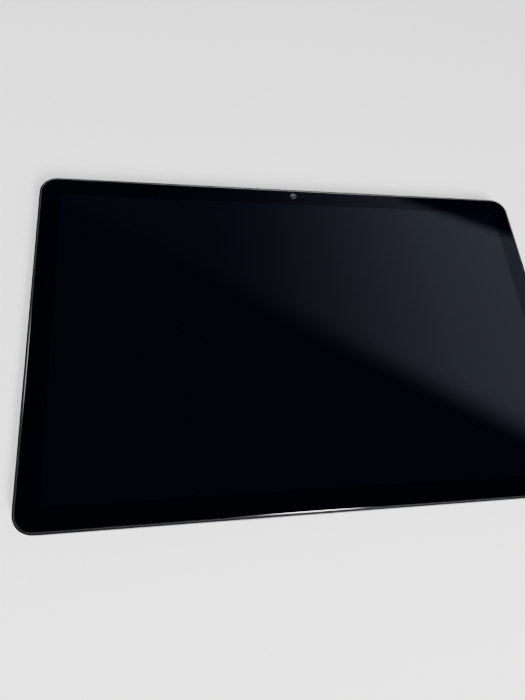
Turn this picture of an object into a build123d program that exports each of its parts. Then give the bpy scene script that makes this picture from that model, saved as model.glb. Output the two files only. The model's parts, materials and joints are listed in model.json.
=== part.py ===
"""Slim tablet computer with a widescreen panel, modelled as the assembly it is.

Frame: origin at the middle of the flat back face, +X along the long side, +Y towards the long edge
that carries the front camera, +Z out through the cover glass. Millimetres.
The back is a machined aluminium tub. A plastic rim with a stamped middle plate drops into it: the
display is stacked on the plate's upper side and the electronics hang from its lower side.
"""

from build123d import *
import math
import os

# ---------------------------------------------------------------- driving dimensions
LENGTH = 257.0  # X
WIDTH = 168.7  # Y
THICKNESS = 6.9  # back face to the top of the glass
CORNER_R = 8.5  # plan radius of the body's corners
BACK_T = 0.8  # back plate of the tub
WALL_T = 1.4  # side wall below the rim
LIP_T = 0.7  # side wall beside the rim
BACK_EDGE_R = 2.4  # round from the back into the sides
LIP_CHAMFER = 0.25
BEZEL = 10.2  # glass border round the picture, from the body's edge
GLASS_T = 0.7
PLATE_T = 0.4  # middle plate
FIT = 0.05  # gap between parts that are pushed together
SLIDE = 0.1  # gap round parts that move

HALF_L = LENGTH / 2
HALF_W = WIDTH / 2
PICTURE_L = LENGTH - 2 * BEZEL
PICTURE_W = WIDTH - 2 * BEZEL

# Heights, from the glass down
Z_GLASS = THICKNESS - GLASS_T
Z_LEDGE = Z_GLASS - 0.1  # top of the rim's ledge, under the tape
Z_LIP = 6.6  # top of the rim's thin lip beside the glass
Z_WALL = 6.45  # top of the tub's wall
Z_PLATE_TOP = 4.78
Z_PLATE = Z_PLATE_TOP - PLATE_T
Z_STEP = 4.2  # step in the tub's wall that the rim stands on
Z_KEYS = 3.15  # middle of the keys, tray and speaker slots
Z_USB = 3.2
Z_JACK = 2.82
BOARD_T = 0.6
Z_BOARD = 3.35
Z_BOARD_TOP = Z_BOARD + BOARD_T

# Offsets inwards from the body's outline
IN_LIP = LIP_T + FIT  # outside of the rim
IN_GLASS = 0.98  # edge of the glass
IN_LEDGE = 2.0  # inside of the rim
IN_PLATE = 1.5  # edge of the middle plate, let into the rim
Y_WALL = HALF_W - WALL_T  # inner face of the top wall
X_WALL = HALF_L - WALL_T  # inner face of the right wall

# Places along the edges
SPEAKER_Y = 43.5
JACK_Y = -19.0
POWER_X = -92.0
VOLUME_X = -66.0
TRAY_X = -32.0
CAMERA_X, CAMERA_Y = -112.5, 68.35  # rear camera
FRONT_CAMERA_Y = HALF_W - 4.3
LIGHT_SENSOR_X = 5.3
TOP_MIC_X = 20.0
SIDE_MIC_Y = 12.0
BAND_X = (28.0, 112.0)  # plastic breaks in the top wall, for the aerials

SCREW_R = 0.6
SCREW_HEAD_R = 1.3
SCREW_HEAD_T = 0.5
BOARD_SCREWS = ((-101.5, 76.0), (-101.5, 53.0), (-50.0, 53.0), (25.0, 76.0), (25.0, 63.5))
SUB_SCREWS = ((107.0, -21.0), (107.0, 3.0))
SPEAKER_EAR = 16.9  # from the speaker's middle to its ear's screw
CORNERS = {"top_left": (-1, 1), "top_right": (1, 1), "bottom_left": (-1, -1), "bottom_right": (1, -1)}
SPEAKER_SCREWS = tuple(
    (sx * 116.0, sy * SPEAKER_Y + end * SPEAKER_EAR) for sx, sy in CORNERS.values() for end in (-1, 1)
)


# ---------------------------------------------------------------- helpers
def block(x0, x1, y0, y1, z0, z1):
    """A box between two corners."""
    return Pos(x0, y0, z0) * Box(x1 - x0, y1 - y0, z1 - z0, align=(Align.MIN, Align.MIN, Align.MIN))


def disc(x, y, radius, z0, z1):
    """An upright cylinder."""
    return Pos(x, y, z0) * Cylinder(radius, z1 - z0, align=(Align.CENTER, Align.CENTER, Align.MIN))


def pad(x, y, length, width, radius, z0, z1):
    """A flat block with rounded corners, centred on x, y."""
    return Pos(x, y, z0) * extrude(RectangleRounded(length, width, radius), z1 - z0)


def outline(inset, z0, z1):
    """The body's own outline, taken in all round, as a slab."""
    return pad(0, 0, LENGTH - 2 * inset, WIDTH - 2 * inset, CORNER_R - inset, z0, z1)


def ring(inset, inner, z0, z1):
    """A band that follows the body's outline between two insets."""
    return outline(inset, z0, z1) - outline(inner, z0, z1)


def slot_y(x, z, length, height, y0, y1):
    """A round-ended bar through the top wall, long along X."""
    plane = Plane(origin=(x, y0, z), x_dir=(1, 0, 0), z_dir=(0, 1, 0))
    return extrude(plane * SlotOverall(length, height), y1 - y0)


def slot_x(y, z, length, height, x0, x1):
    """A round-ended bar through the right wall, long along Y."""
    plane = Plane(origin=(x0, y, z), x_dir=(0, 1, 0), z_dir=(1, 0, 0))
    return extrude(plane * SlotOverall(length, height), x1 - x0)


def hole_y(x, z, radius, y0, y1):
    """A round bar along Y."""
    plane = Plane(origin=(x, y0, z), x_dir=(1, 0, 0), z_dir=(0, 1, 0))
    return extrude(plane * Circle(radius), y1 - y0)


def hole_x(y, z, radius, x0, x1):
    """A round bar along X."""
    plane = Plane(origin=(x0, y, z), x_dir=(0, 1, 0), z_dir=(1, 0, 0))
    return extrude(plane * Circle(radius), x1 - x0)


def ribbon(points, width, bend, z0, z1):
    """A flat cable lying in a plane: a constant width along straight runs with rounded corners."""
    path = FilletPolyline(*points, radius=bend)
    side = trace(path, line_width=width)
    return Pos(0, 0, z0) * extrude(side, z1 - z0)


def side_slots():
    """Middles along Y of the slots in one speaker's row."""
    count, pitch = 7, 3.6
    return [(i - (count - 1) / 2) * pitch for i in range(count)]


def mirrored(shape, sx):
    """The shape as made for the right-hand side, or mirrored to the left."""
    return shape if sx > 0 else mirror(shape, about=Plane.YZ)


def group(*solids):
    """Separate solids in one node."""
    return Compound(children=[s for shape in solids for s in shape.solids()])


# ---------------------------------------------------------------- casing
CLIP_LENGTH = 7.0
CLIPS_TOP = (-46.0, -10.0, 44.0, 72.0, 98.0)
CLIPS_BOTTOM = (-108.0, -81.0, -54.0, -27.0, 0.0, 27.0, 54.0, 81.0, 108.0)
CLIPS_SIDE = (-26.5, 26.0)
CLIP_Z0, CLIP_Z1 = 2.7, 3.3  # the hook


def clip_places():
    """(x, y, turn) of each clip, where turn carries the bottom edge's clip to its own edge."""
    places = [(x, HALF_W, 180) for x in CLIPS_TOP]
    places += [(x, -HALF_W, 0) for x in CLIPS_BOTTOM]
    places += [(side * HALF_L, y, 90 * side) for side in (-1, 1) for y in CLIPS_SIDE]
    return places


def at_edge(shape, place):
    """A shape drawn for the bottom edge, with Y inwards from the outline, moved to its own edge."""
    x, y, turn = place
    return Pos(x, y, 0) * Rot(0, 0, turn) * shape


def tub_blank():
    """The aluminium tub with its step and hook pockets, before its openings are cut."""
    body = outline(0, 0, Z_WALL)
    body = fillet(body.faces().sort_by(Axis.Z)[0].edges(), BACK_EDGE_R)
    body = chamfer(body.faces().sort_by(Axis.Z)[-1].edges(), LIP_CHAMFER)
    pocket = outline(WALL_T, BACK_T, Z_WALL + 1)
    pocket = fillet(pocket.faces().sort_by(Axis.Z)[0].edges(), 0.6)
    body -= pocket
    body -= outline(LIP_T, Z_STEP, Z_WALL + 1)
    hook_room = block(-CLIP_LENGTH / 2 - 0.3, CLIP_LENGTH / 2 + 0.3, WALL_T - 0.4, WALL_T + 0.1, 2.5, 3.5)
    return body - [at_edge(hook_room, place) for place in clip_places()]


def band_boxes():
    """The two slots that part the top wall and wrap onto the back."""
    return [block(x - 0.7, x + 0.7, HALF_W - 6, HALF_W + 1, -1, Z_WALL + 1) for x in BAND_X]


def tub_openings():
    """Everything that is cut through the tub's walls and back."""
    cuts = []
    for sx in (-1, 1):
        for sy in (-1, 1):
            for dy in side_slots():
                slot = slot_x(sy * SPEAKER_Y + dy, Z_KEYS, 2.7, 1.3, X_WALL - 0.5, HALF_L + 1)
                cuts.append(mirrored(slot, sx))
    cuts.append(slot_x(0, Z_USB, 9.2, 3.5, X_WALL - 1, HALF_L + 1))
    cuts.append(hole_x(JACK_Y, Z_JACK, 1.95, X_WALL - 1, HALF_L + 1))
    cuts.append(block(X_WALL - 1, X_WALL, JACK_Y - 3.1, JACK_Y + 3.1, BACK_T, 2))
    cuts.append(hole_x(SIDE_MIC_Y, Z_KEYS, 0.5, X_WALL - 1, HALF_L + 1))
    cuts.append(hole_y(TOP_MIC_X, Z_KEYS, 0.5, Y_WALL - 1, HALF_W + 1))
    cuts.append(slot_y(POWER_X, Z_KEYS, POWER_LENGTH + 2 * SLIDE, KEY_HEIGHT + 2 * SLIDE, Y_WALL - 1, HALF_W + 1))
    cuts.append(slot_y(VOLUME_X, Z_KEYS, VOLUME_LENGTH + 2 * SLIDE, KEY_HEIGHT + 2 * SLIDE, Y_WALL - 1, HALF_W + 1))
    cuts.append(slot_y(TRAY_X, Z_KEYS, TRAY_HEAD_L + 2 * SLIDE, TRAY_HEAD_H + 2 * SLIDE, Y_WALL - 1, HALF_W + 1))
    cuts.append(disc(CAMERA_X, CAMERA_Y, RING_R + FIT, -1, BACK_T + 1))
    return cuts


def rear_cover():
    """Aluminium tub: back and side walls in one piece."""
    return tub_blank() - tub_openings() - band_boxes()


def antenna_bands():
    """Plastic fillings of the two slots in the tub, flush with the metal."""
    tub = tub_blank()
    return group(*[tub & slot for slot in band_boxes()])


def frame_rim():
    """Plastic rim: ledge for the glass, thin lip beside it, hooks that snap into the tub."""
    rim = ring(IN_LIP, IN_LEDGE, Z_STEP + 0.02, Z_LEDGE)
    rim += ring(IN_LIP, IN_GLASS - FIT, Z_LEDGE, Z_LIP)
    rim -= outline(IN_PLATE, Z_PLATE, Z_PLATE_TOP)
    tongue = block(-CLIP_LENGTH / 2, CLIP_LENGTH / 2, WALL_T + FIT, IN_LEDGE, CLIP_Z0 - 0.2, Z_PLATE)
    hook = block(-CLIP_LENGTH / 2, CLIP_LENGTH / 2, WALL_T - 0.25, WALL_T + FIT, CLIP_Z0, CLIP_Z1)
    rim += [at_edge(tongue + hook, place) for place in clip_places()]
    rim -= block(X_WALL - 1, HALF_L, -5.3, 5.3, Z_STEP - 1, 5.15)
    rim -= block(X_WALL - 1, HALF_L, JACK_Y - 3.2, JACK_Y + 3.2, Z_STEP - 1, 4.9)
    rim -= block(-3.2, 3.2, FRONT_CAMERA_Y - 3.2, FRONT_CAMERA_Y + 2.9, Z_STEP - 1, Z_LEDGE + 0.2)
    return rim


# ---------------------------------------------------------------- middle plate and fasteners
SLOT_X = 72.0  # where the display's flat cable passes the plate
PLATE_WINDOWS = ((-88.0, -58.0), (-88.0, -22.0), (-88.0, 14.0), (86.0, -66.0), (86.0, 24.0))


def mid_plate():
    """Stamped alloy plate with bosses for the screws and windows that save weight."""
    plate = outline(IN_PLATE, Z_PLATE, Z_PLATE_TOP)
    plate += [disc(x, y, 1.7, Z_BOARD_TOP, Z_PLATE + 0.05) for x, y in BOARD_SCREWS + SUB_SCREWS]
    plate += [disc(x, y, 1.7, Z_EAR_TOP, Z_PLATE + 0.05) for x, y in SPEAKER_SCREWS]
    cuts = [disc(x, y, SCREW_R + 0.02, Z_BOARD, Z_PLATE_TOP + 1) for x, y in BOARD_SCREWS + SUB_SCREWS]
    cuts += [disc(x, y, SCREW_R + 0.02, Z_BOARD, Z_PLATE_TOP + 1) for x, y in SPEAKER_SCREWS]
    cuts += [pad(x, y, 20, 26, 3, Z_PLATE - 1, Z_PLATE_TOP + 1) for x, y in PLATE_WINDOWS]
    cuts.append(pad(SLOT_X, -HALF_W + 4.1, 17, 1.6, 0.7, Z_PLATE - 1, Z_PLATE_TOP + 1))
    cuts.append(block(119.6, HALF_L, -5.3, 5.3, Z_PLATE - 1, Z_PLATE_TOP + 1))
    cuts.append(block(JACK_X0 - 0.2, HALF_L, JACK_Y - 3.2, JACK_Y + 3.2, Z_PLATE - 1, Z_PLATE_TOP + 1))
    cuts.append(block(-3.0, 3.0, FRONT_CAMERA_Y - 3.0, HALF_W, Z_PLATE - 1, Z_PLATE_TOP + 1))
    cuts.append(block(3.9, 6.7, FRONT_CAMERA_Y - 1.6, FRONT_CAMERA_Y + 1.6, Z_PLATE - 1, Z_PLATE_TOP + 1))
    return plate - cuts


def screw(x, y, z_seat):
    """Cross-head machine screw driven upwards, its head's bearing face at z_seat."""
    head = disc(x, y, SCREW_HEAD_R, z_seat - SCREW_HEAD_T, z_seat)
    head = chamfer(head.faces().sort_by(Axis.Z)[0].edges(), 0.12)
    for turn in (0, 90):
        head -= Pos(x, y, z_seat - SCREW_HEAD_T) * Rot(0, 0, turn) * Box(1.5, 0.3, 0.5)
    return head + disc(x, y, SCREW_R, z_seat, Z_PLATE_TOP - 0.08)


def screws():
    """All the cross-head screws, separate solids in one node."""
    on_boards = [screw(x, y, Z_BOARD) for x, y in BOARD_SCREWS + SUB_SCREWS]
    on_speakers = [screw(x, y, Z_EAR_TOP - EAR_T) for x, y in SPEAKER_SCREWS]
    return group(*on_boards, *on_speakers)


# ---------------------------------------------------------------- glass and display
FILM_T = 0.05
CELL_HALF_L = 119.6
CELL_TOP, CELL_LEDGE = 75.9, -79.5  # edges of the thin-film glass, in Y
FILTER_BOTTOM = -75.0  # lower edge of the colour filter glass, which leaves the ledge bare
Z_OPTICAL = 5.98
Z_FILTER = 5.66
Z_TFT = 5.46
POLARISER_T = 0.12
FRAME_HALF_L, FRAME_TOP, FRAME_BOTTOM = 119.9, 76.2, -79.8
FRAME_WALL = 0.9
Z_REFLECTOR = 4.8
REFLECTOR_T = 0.06
GUIDE_T = 0.28
SHEET_T = 0.05
LED_COUNT = 32
LED_PITCH = 7.2
LED_Y = FRAME_BOTTOM + FRAME_WALL + 0.45


def between(half_l, y0, y1, z0, z1):
    """A plain sheet, symmetrical in X."""
    return block(-half_l, half_l, y0, y1, z0, z1)


def cover_glass():
    """Toughened cover glass with a rounded upper edge."""
    glass = outline(IN_GLASS, Z_GLASS, THICKNESS)
    glass = fillet(glass.faces().sort_by(Axis.Z)[-1].edges(), 0.45)
    return chamfer(glass.faces().sort_by(Axis.Z)[0].edges(), 0.1)


def border_film():
    """Opaque border behind the glass, clear for the picture, the front camera and the light sensor."""
    film = outline(IN_GLASS + 0.15, Z_GLASS - FILM_T, Z_GLASS)
    film -= between(PICTURE_L / 2, -PICTURE_W / 2, PICTURE_W / 2, Z_GLASS - 1, Z_GLASS + 1)
    film -= disc(0, FRONT_CAMERA_Y, 1.8, Z_GLASS - 1, Z_GLASS + 1)
    return film - disc(LIGHT_SENSOR_X, FRONT_CAMERA_Y, 0.7, Z_GLASS - 1, Z_GLASS + 1)


def glass_tape():
    """Foam tape that holds the glass on the rim's ledge."""
    tape = ring(IN_GLASS + 0.1, IN_LEDGE - 0.05, Z_LEDGE, Z_GLASS - FILM_T)
    return tape - block(-3.2, 3.2, HALF_W - 2.5, HALF_W, Z_LEDGE - 1, Z_GLASS + 1)


def optical_adhesive():
    """Clear adhesive between panel and glass, which fills the border film's window."""
    sheet = between(PICTURE_L / 2 + 0.9, -PICTURE_W / 2 - 0.6, PICTURE_W / 2 + 0.9, Z_OPTICAL, Z_GLASS - FILM_T)
    return sheet + between(PICTURE_L / 2, -PICTURE_W / 2, PICTURE_W / 2, Z_GLASS - FILM_T, Z_GLASS)


def polarisers():
    """Polarising films on both faces of the cell."""
    front = between(118.9, -74.8, 75.2, Z_OPTICAL - POLARISER_T, Z_OPTICAL)
    rear = between(118.7, -75.0, 75.0, Z_TFT - POLARISER_T, Z_TFT)
    return group(front, rear)


def lcd_cell():
    """The liquid-crystal cell: colour filter glass over the longer thin-film glass."""
    colour_filter = between(CELL_HALF_L, FILTER_BOTTOM, CELL_TOP, Z_FILTER, Z_OPTICAL - POLARISER_T)
    thin_film = between(CELL_HALF_L, CELL_LEDGE, CELL_TOP, Z_TFT, Z_FILTER - 0.005)
    return group(colour_filter, thin_film)


def backlight_frame():
    """White plastic frame that holds the backlight's sheets."""
    outer = between(FRAME_HALF_L, FRAME_BOTTOM, FRAME_TOP, Z_REFLECTOR, Z_TFT - 0.02)
    inner = between(
        FRAME_HALF_L - FRAME_WALL, FRAME_BOTTOM + FRAME_WALL, FRAME_TOP - FRAME_WALL, Z_REFLECTOR - 1, Z_TFT + 1
    )
    return outer - inner


def backlight_sheet(z0, thickness, y0=FRAME_BOTTOM + FRAME_WALL + 1.2):
    """One sheet of the backlight, as large as the frame's opening allows."""
    return between(FRAME_HALF_L - FRAME_WALL - 0.1, y0, FRAME_TOP - FRAME_WALL - 0.1, z0, z0 + thickness)


def reflector_sheet():
    """White reflector under the light guide and the lamps."""
    return backlight_sheet(Z_REFLECTOR, REFLECTOR_T, FRAME_BOTTOM + FRAME_WALL + 0.1)


def light_guide():
    """Clear acrylic light guide."""
    return backlight_sheet(Z_REFLECTOR + REFLECTOR_T + 0.01, GUIDE_T)


def backlight_films():
    """Diffuser and two prism sheets."""
    first = Z_REFLECTOR + REFLECTOR_T + GUIDE_T + 0.03
    return group(*[backlight_sheet(first + i * (SHEET_T + 0.005), SHEET_T) for i in range(3)])


def backlight_leds():
    """A row of lamps along the light guide's lower edge, on their flexible strip."""
    z0 = Z_REFLECTOR + REFLECTOR_T + 0.01
    lamps = []
    for i in range(LED_COUNT):
        x = (i - (LED_COUNT - 1) / 2) * LED_PITCH
        lamps.append(block(x - 1.5, x + 1.5, LED_Y - 0.3, LED_Y + 0.3, z0, z0 + GUIDE_T))
    strip = between(117.5, LED_Y - 0.35, LED_Y + 0.35, z0 + GUIDE_T + 0.01, z0 + GUIDE_T + 0.11)
    return group(strip, *lamps)


def display_flex():
    """Driver chips on the cell's ledge, and the flat cable that folds round to the main board."""
    chips = [block(x - 11, x + 11, -77.4, -76.2, Z_FILTER, Z_FILTER + 0.2) for x in (-60.0, 0.0, 60.0)]
    y_fold = -HALF_W + 3.9
    z_run = Z_PLATE - 0.18
    bonded = block(SLOT_X - 7, SLOT_X + 7, y_fold, -78.2, Z_FILTER, Z_FILTER + 0.12)
    fold = block(SLOT_X - 7, SLOT_X + 7, y_fold, y_fold + 0.12, z_run, Z_FILTER + 0.12)
    run = ribbon([(SLOT_X, y_fold), (SLOT_X, 57.5), (17.0, 57.5)], 8.0, 6.0, z_run, z_run + 0.12)
    return group(bonded + fold + run, *chips)


# ---------------------------------------------------------------- battery
CELL_L, CELL_W = 58.5, 118.0
CELL_MID_X, CELL_MID_Y = 30.75, -18.5
BATTERY_Z0, BATTERY_Z1 = 1.0, 4.2


def battery_cell(side):
    """One pouch cell: a foil pouch with soft edges and a folded seam at its top."""
    pouch = pad(side * CELL_MID_X, CELL_MID_Y, CELL_L, CELL_W, 2.0, BATTERY_Z0, BATTERY_Z1)
    pouch = fillet(pouch.faces().sort_by(Axis.Z)[0].edges() + pouch.faces().sort_by(Axis.Z)[-1].edges(), 0.7)
    top = CELL_MID_Y + CELL_W / 2
    seam = block(side * CELL_MID_X - 26, side * CELL_MID_X + 26, top - 1, top + 3.0, 2.9, 3.2)
    return pouch + seam


def battery_guard_board():
    """Protection board across the tops of both cells, its parts, and its lead to the main board."""
    y0 = CELL_MID_Y + CELL_W / 2 + 0.4
    board = block(-50, 50, y0, y0 + 3.4, 1.9, 2.5)
    parts = [block(x - 2.2, x + 2.2, y0 + 0.6, y0 + 2.8, 1.25, 1.9) for x in (-36.0, -20.0, 12.0, 34.0)]
    lead = block(-14, -6, y0 + 1.5, 55.0, 2.5, 2.62)
    return group(board, lead, *parts)


def battery_adhesive():
    """Stretch-release strips between the cells and the middle plate."""
    strips = []
    for side in (-1, 1):
        for dx in (-18.0, 18.0):
            x = side * CELL_MID_X + dx
            strips.append(block(x - 5, x + 5, -74, 36, BATTERY_Z1, Z_PLATE))
    return group(*strips)


# ---------------------------------------------------------------- main board
BOARD_X0, BOARD_X1, BOARD_Y0, BOARD_Y1 = -104.5, 28.5, 50.0, 79.0
SHIELDS = ((-80.0, 64.5, 34.0, 22.0), (-51.0, 66.5, 13.0, 18.0), (-3.0, 65.5, 24.0, 15.0))
SHIELD_H = 1.4
SHIELD_T = 0.15


def main_board():
    """Main circuit board with clearance holes for its screws and a bay for the front camera."""
    board = block(BOARD_X0, BOARD_X1, BOARD_Y0, BOARD_Y1, Z_BOARD, Z_BOARD_TOP)
    corners = board.edges().filter_by(Axis.Z)
    board = fillet(corners, 1.0)
    board -= block(-4.5, 8.0, 76.2, BOARD_Y1 + 1, 0, THICKNESS)
    return board - [disc(x, y, 0.8, 0, THICKNESS) for x, y in BOARD_SCREWS]


def shield_cans():
    """Pressed steel lids over the chips, open towards the board."""
    cans = []
    for x, y, length, width in SHIELDS:
        can = pad(x, y, length, width, 0.8, Z_BOARD - SHIELD_H, Z_BOARD)
        room = pad(x, y, length - 2 * SHIELD_T, width - 2 * SHIELD_T, 0.6, Z_BOARD - SHIELD_H + SHIELD_T, Z_BOARD + 1)
        cans.append(can - room)
    return group(*cans)


def board_chips():
    """Processor, memory, power and radio chips under the shields, and low parts above the board."""
    under = [(-86.0, 66.0, 13.0, 1.0), (-70.5, 66.5, 10.0, 0.9), (-51.0, 66.0, 8.0, 0.8), (-9.0, 66.0, 7.0, 0.8)]
    under += [(3.0, 66.0, 5.5, 0.8), (-71.0, 57.5, 5.0, 0.7)]
    chips = [block(x - s / 2, x + s / 2, y - s / 2, y + s / 2, Z_BOARD - h, Z_BOARD) for x, y, s, h in under]
    for i in range(14):
        x = -96.0 + 6.0 * i
        chips.append(block(x - 1.0, x + 1.0, 69.5, 70.7, Z_BOARD_TOP, Z_BOARD_TOP + 0.35))
    return group(*chips)


def board_connectors():
    """Board-to-board sockets for the flat cables, on the main and sub boards."""
    lower = Z_BOARD - 0.72
    sockets = [
        block(-14.5, -5.5, 52.0, 55.0, lower, Z_BOARD),
        block(18.5, 22.5, 53.2, 58.8, Z_BOARD - 0.8, Z_BOARD),
        block(108.5, 112.0, 9.5, 14.5, Z_BOARD - 0.8, Z_BOARD),
        block(13.5, 17.5, 53.8, 61.2, Z_BOARD_TOP, Z_PLATE - 0.18),
        block(-83.0, -77.0, 76.6, 78.6, lower, Z_BOARD),
        block(-103.5, -100.5, 61.0, 68.0, lower, Z_BOARD),
    ]
    return group(*sockets)


def link_flex():
    """Flat cable from the main board to the sub board."""
    z = Z_BOARD - 0.8 - 0.12
    return ribbon([(18.6, 56.0), (100.0, 56.0), (100.0, 12.0), (111.9, 12.0)], 5.0, 4.0, z, z + 0.12)


# ---------------------------------------------------------------- sub board, charging port, earphone socket
SUB_X0, SUB_X1, SUB_Y0, SUB_Y1 = 104.0, 124.0, -23.8, 18.0
USB_X1 = HALF_L - 0.9  # mouth of the port
USB_DEPTH = 7.3
USB_BACK = 1.6  # solid moulding at the port's inner end
USB_OUT = (8.94, 3.26)
USB_IN = (8.34, 2.56)
JACK_BORE_R = 1.78
JACK_X0 = 114.2
JACK_X1 = X_WALL - 0.05
JACK_HALF_W = 3.0
JACK_Z0, JACK_Z1 = Z_JACK - 1.94, Z_JACK + 1.94
JACK_DEPTH = 12.0


def sub_board():
    """Small board that carries the charging port, the earphone socket and a microphone."""
    board = block(SUB_X0, SUB_X1, SUB_Y0, SUB_Y1, Z_BOARD, Z_BOARD_TOP)
    board = fillet(board.edges().filter_by(Axis.Z), 1.0)
    board -= block(USB_X1 - USB_DEPTH - 0.2, SUB_X1 + 1, -4.7, 4.7, 0, THICKNESS)
    board -= block(JACK_X0 - 0.2, SUB_X1 + 1, JACK_Y - 3.2, JACK_Y + 3.2, 0, THICKNESS)
    return board - [disc(x, y, 0.8, 0, THICKNESS) for x, y in SUB_SCREWS]


def usb_shell():
    """Drawn steel shell of the charging port, with feet on the sub board."""
    shell = slot_x(0, Z_USB, *USB_OUT, USB_X1 - USB_DEPTH, USB_X1)
    shell -= slot_x(0, Z_USB, *USB_IN, USB_X1 - USB_DEPTH - 1, USB_X1 + 1)
    for side in (-1, 1):
        y0, y1 = sorted((side * 4.2, side * 6.0))
        foot = block(121.2, 122.8, y0, y1, Z_BOARD_TOP, Z_BOARD_TOP + 0.2)
        shell += foot - slot_x(0, Z_USB, *USB_IN, 115, 130)
    return shell


def usb_tongue():
    """Moulding in the port: the base that closes it and the thin tongue that carries the contacts."""
    x0 = USB_X1 - USB_DEPTH
    base = slot_x(0, Z_USB, USB_IN[0] - 0.02, USB_IN[1] - 0.02, x0, x0 + USB_BACK)
    tongue = block(x0 + USB_BACK - 0.1, USB_X1 - 1.1, -3.35, 3.35, Z_USB - 0.35, Z_USB + 0.35)
    return base + tongue


def usb_seal():
    """Silicone ring between the port's shell and the inside of the wall."""
    seal = slot_x(0, Z_USB, 10.2, 3.7, X_WALL - 0.75, X_WALL - 0.02)
    return seal - slot_x(0, Z_USB, USB_OUT[0] + 0.06, USB_OUT[1] + 0.06, X_WALL - 2, X_WALL + 1)


def jack_body():
    """Moulded earphone socket with a blind bore and slots for its springs."""
    body = block(JACK_X0, JACK_X1, JACK_Y - JACK_HALF_W, JACK_Y + JACK_HALF_W, JACK_Z0, JACK_Z1)
    body -= hole_x(JACK_Y, Z_JACK, JACK_BORE_R, JACK_X1 - JACK_DEPTH, JACK_X1 + 1)
    return body - [jack_spring_room(i) for i in range(4)]


def jack_spring_room(i):
    """The groove for one of the earphone socket's four springs."""
    x = JACK_X1 - 2.6 - 2.6 * i
    y0, y1 = sorted((JACK_Y + (-1) ** i * (JACK_BORE_R + 0.25), JACK_Y + (-1) ** i * (JACK_HALF_W + 0.1)))
    return block(x - 0.6, x + 0.6, y0, y1, Z_JACK - 1.2, Z_JACK + 1.2)


def jack_contacts():
    """Gold-plated springs of the earphone socket, two on each side."""
    springs = []
    for i in range(4):
        x = JACK_X1 - 2.6 - 2.6 * i
        y0, y1 = sorted((JACK_Y + (-1) ** i * (JACK_BORE_R + 0.5), JACK_Y + (-1) ** i * (JACK_BORE_R + 0.8)))
        springs.append(block(x - 0.5, x + 0.5, y0, y1, Z_JACK - 1.1, Z_JACK + 1.1))
    return group(*springs)


def microphones():
    """Two microphone capsules behind their pinholes, each with its sound tube."""
    top = block(TOP_MIC_X - 1.4, TOP_MIC_X + 1.4, 79.6, 81.6, 2.6, 3.7)
    top += hole_y(TOP_MIC_X, Z_KEYS, 1.0, 81.6, Y_WALL - 0.03) - hole_y(TOP_MIC_X, Z_KEYS, 0.5, 81.6, Y_WALL)
    side = block(124.3, 126.0, SIDE_MIC_Y - 1.4, SIDE_MIC_Y + 1.4, 2.6, 3.7)
    side += hole_x(SIDE_MIC_Y, Z_KEYS, 1.0, 126.0, X_WALL - 0.03) - hole_x(SIDE_MIC_Y, Z_KEYS, 0.5, 126.0, X_WALL)
    return group(top, side)


def antennas():
    """Two plastic aerial carriers along the top wall."""
    carriers = []
    for x0 in (34.0, 76.0):
        carrier = block(x0, x0 + 30, 76.0, 81.6, 1.3, 3.9)
        carrier -= block(x0 + 1, x0 + 29, 77.0, 80.6, 1.0, 3.3)
        carriers.append(carrier)
    return group(*carriers)


# ---------------------------------------------------------------- speakers
BOX_X0, BOX_X1 = 108.0, 126.0
BOX_HALF = 15.0
BOX_Z0, BOX_Z1 = 0.95, 4.25
BOX_WALL = 0.5
EAR_T = 0.6
Z_EAR_TOP = BOX_Z1
MOTOR_X = 116.0
COIL_OUT, COIL_IN = (7.0, 12.0), (6.3, 11.3)
CONE_TRAVEL = 0.25


def speaker_box(sx, sy):
    """Plastic enclosure with a nozzle to the slots in the wall and an ear at each end."""
    y = sy * SPEAKER_Y
    box = block(BOX_X0, BOX_X1, y - BOX_HALF, y + BOX_HALF, BOX_Z0, BOX_Z1)
    box = fillet(box.edges().filter_by(Axis.Z), 1.2)
    nozzle = block(BOX_X1 - 1, X_WALL - 0.2, y - 13.2, y + 13.2, 2.1, 4.15)
    ears = [pad(MOTOR_X, y + end * SPEAKER_EAR, 4.4, 5.0, 1.2, Z_EAR_TOP - EAR_T, Z_EAR_TOP) for end in (-1, 1)]
    box = box + nozzle + ears
    box -= block(
        BOX_X0 + BOX_WALL, BOX_X1 - BOX_WALL, y - BOX_HALF + BOX_WALL, y + BOX_HALF - BOX_WALL,
        BOX_Z0 + BOX_WALL, BOX_Z1 - BOX_WALL,
    )
    box -= block(BOX_X1 - 1, X_WALL, y - 12.7, y + 12.7, 2.4, 3.7)
    box -= [disc(MOTOR_X, y + end * SPEAKER_EAR, 0.8, 0, THICKNESS) for end in (-1, 1)]
    return mirrored(box, sx)


def racetrack(y, size, z0, z1):
    """An upright prism with the rounded outline of a speaker's coil."""
    return pad(MOTOR_X, y, size[0], size[1], 2.0, z0, z1)


def speaker_motor(sx, sy):
    """Magnet system with its coil gap, and the basket's rim round the diaphragm."""
    y = sy * SPEAKER_Y
    motor = pad(MOTOR_X, y, 11, 16, 1.5, 2.45, 3.7)
    motor += pad(MOTOR_X, y, 11, 16, 1.5, 1.95, 2.45) - pad(MOTOR_X, y, 10, 15, 1.2, 1.9, 2.45)
    gap = racetrack(y, (7.6, 12.6), 2.4, 3.2) - racetrack(y, (5.6, 10.6), 2.4, 3.2)
    return mirrored(motor - gap, sx)


def speaker_motors():
    """The four magnet systems."""
    return group(*[speaker_motor(sx, sy) for sx, sy in CORNERS.values()])


def speaker_diaphragm(sx, sy):
    """Diaphragm with its voice coil, which moves in and out as one."""
    y = sy * SPEAKER_Y
    cone = pad(MOTOR_X, y, 9.4, 14.4, 1.0, 2.05, 2.15)
    cone += pad(MOTOR_X, y, 5.0, 9.6, 1.5, 1.97, 2.06)
    coil = racetrack(y, COIL_OUT, 2.14, 2.75) - pad(MOTOR_X, y, *COIL_IN, 1.7, 2.14, 2.75)
    return mirrored(cone + coil, sx)


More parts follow.
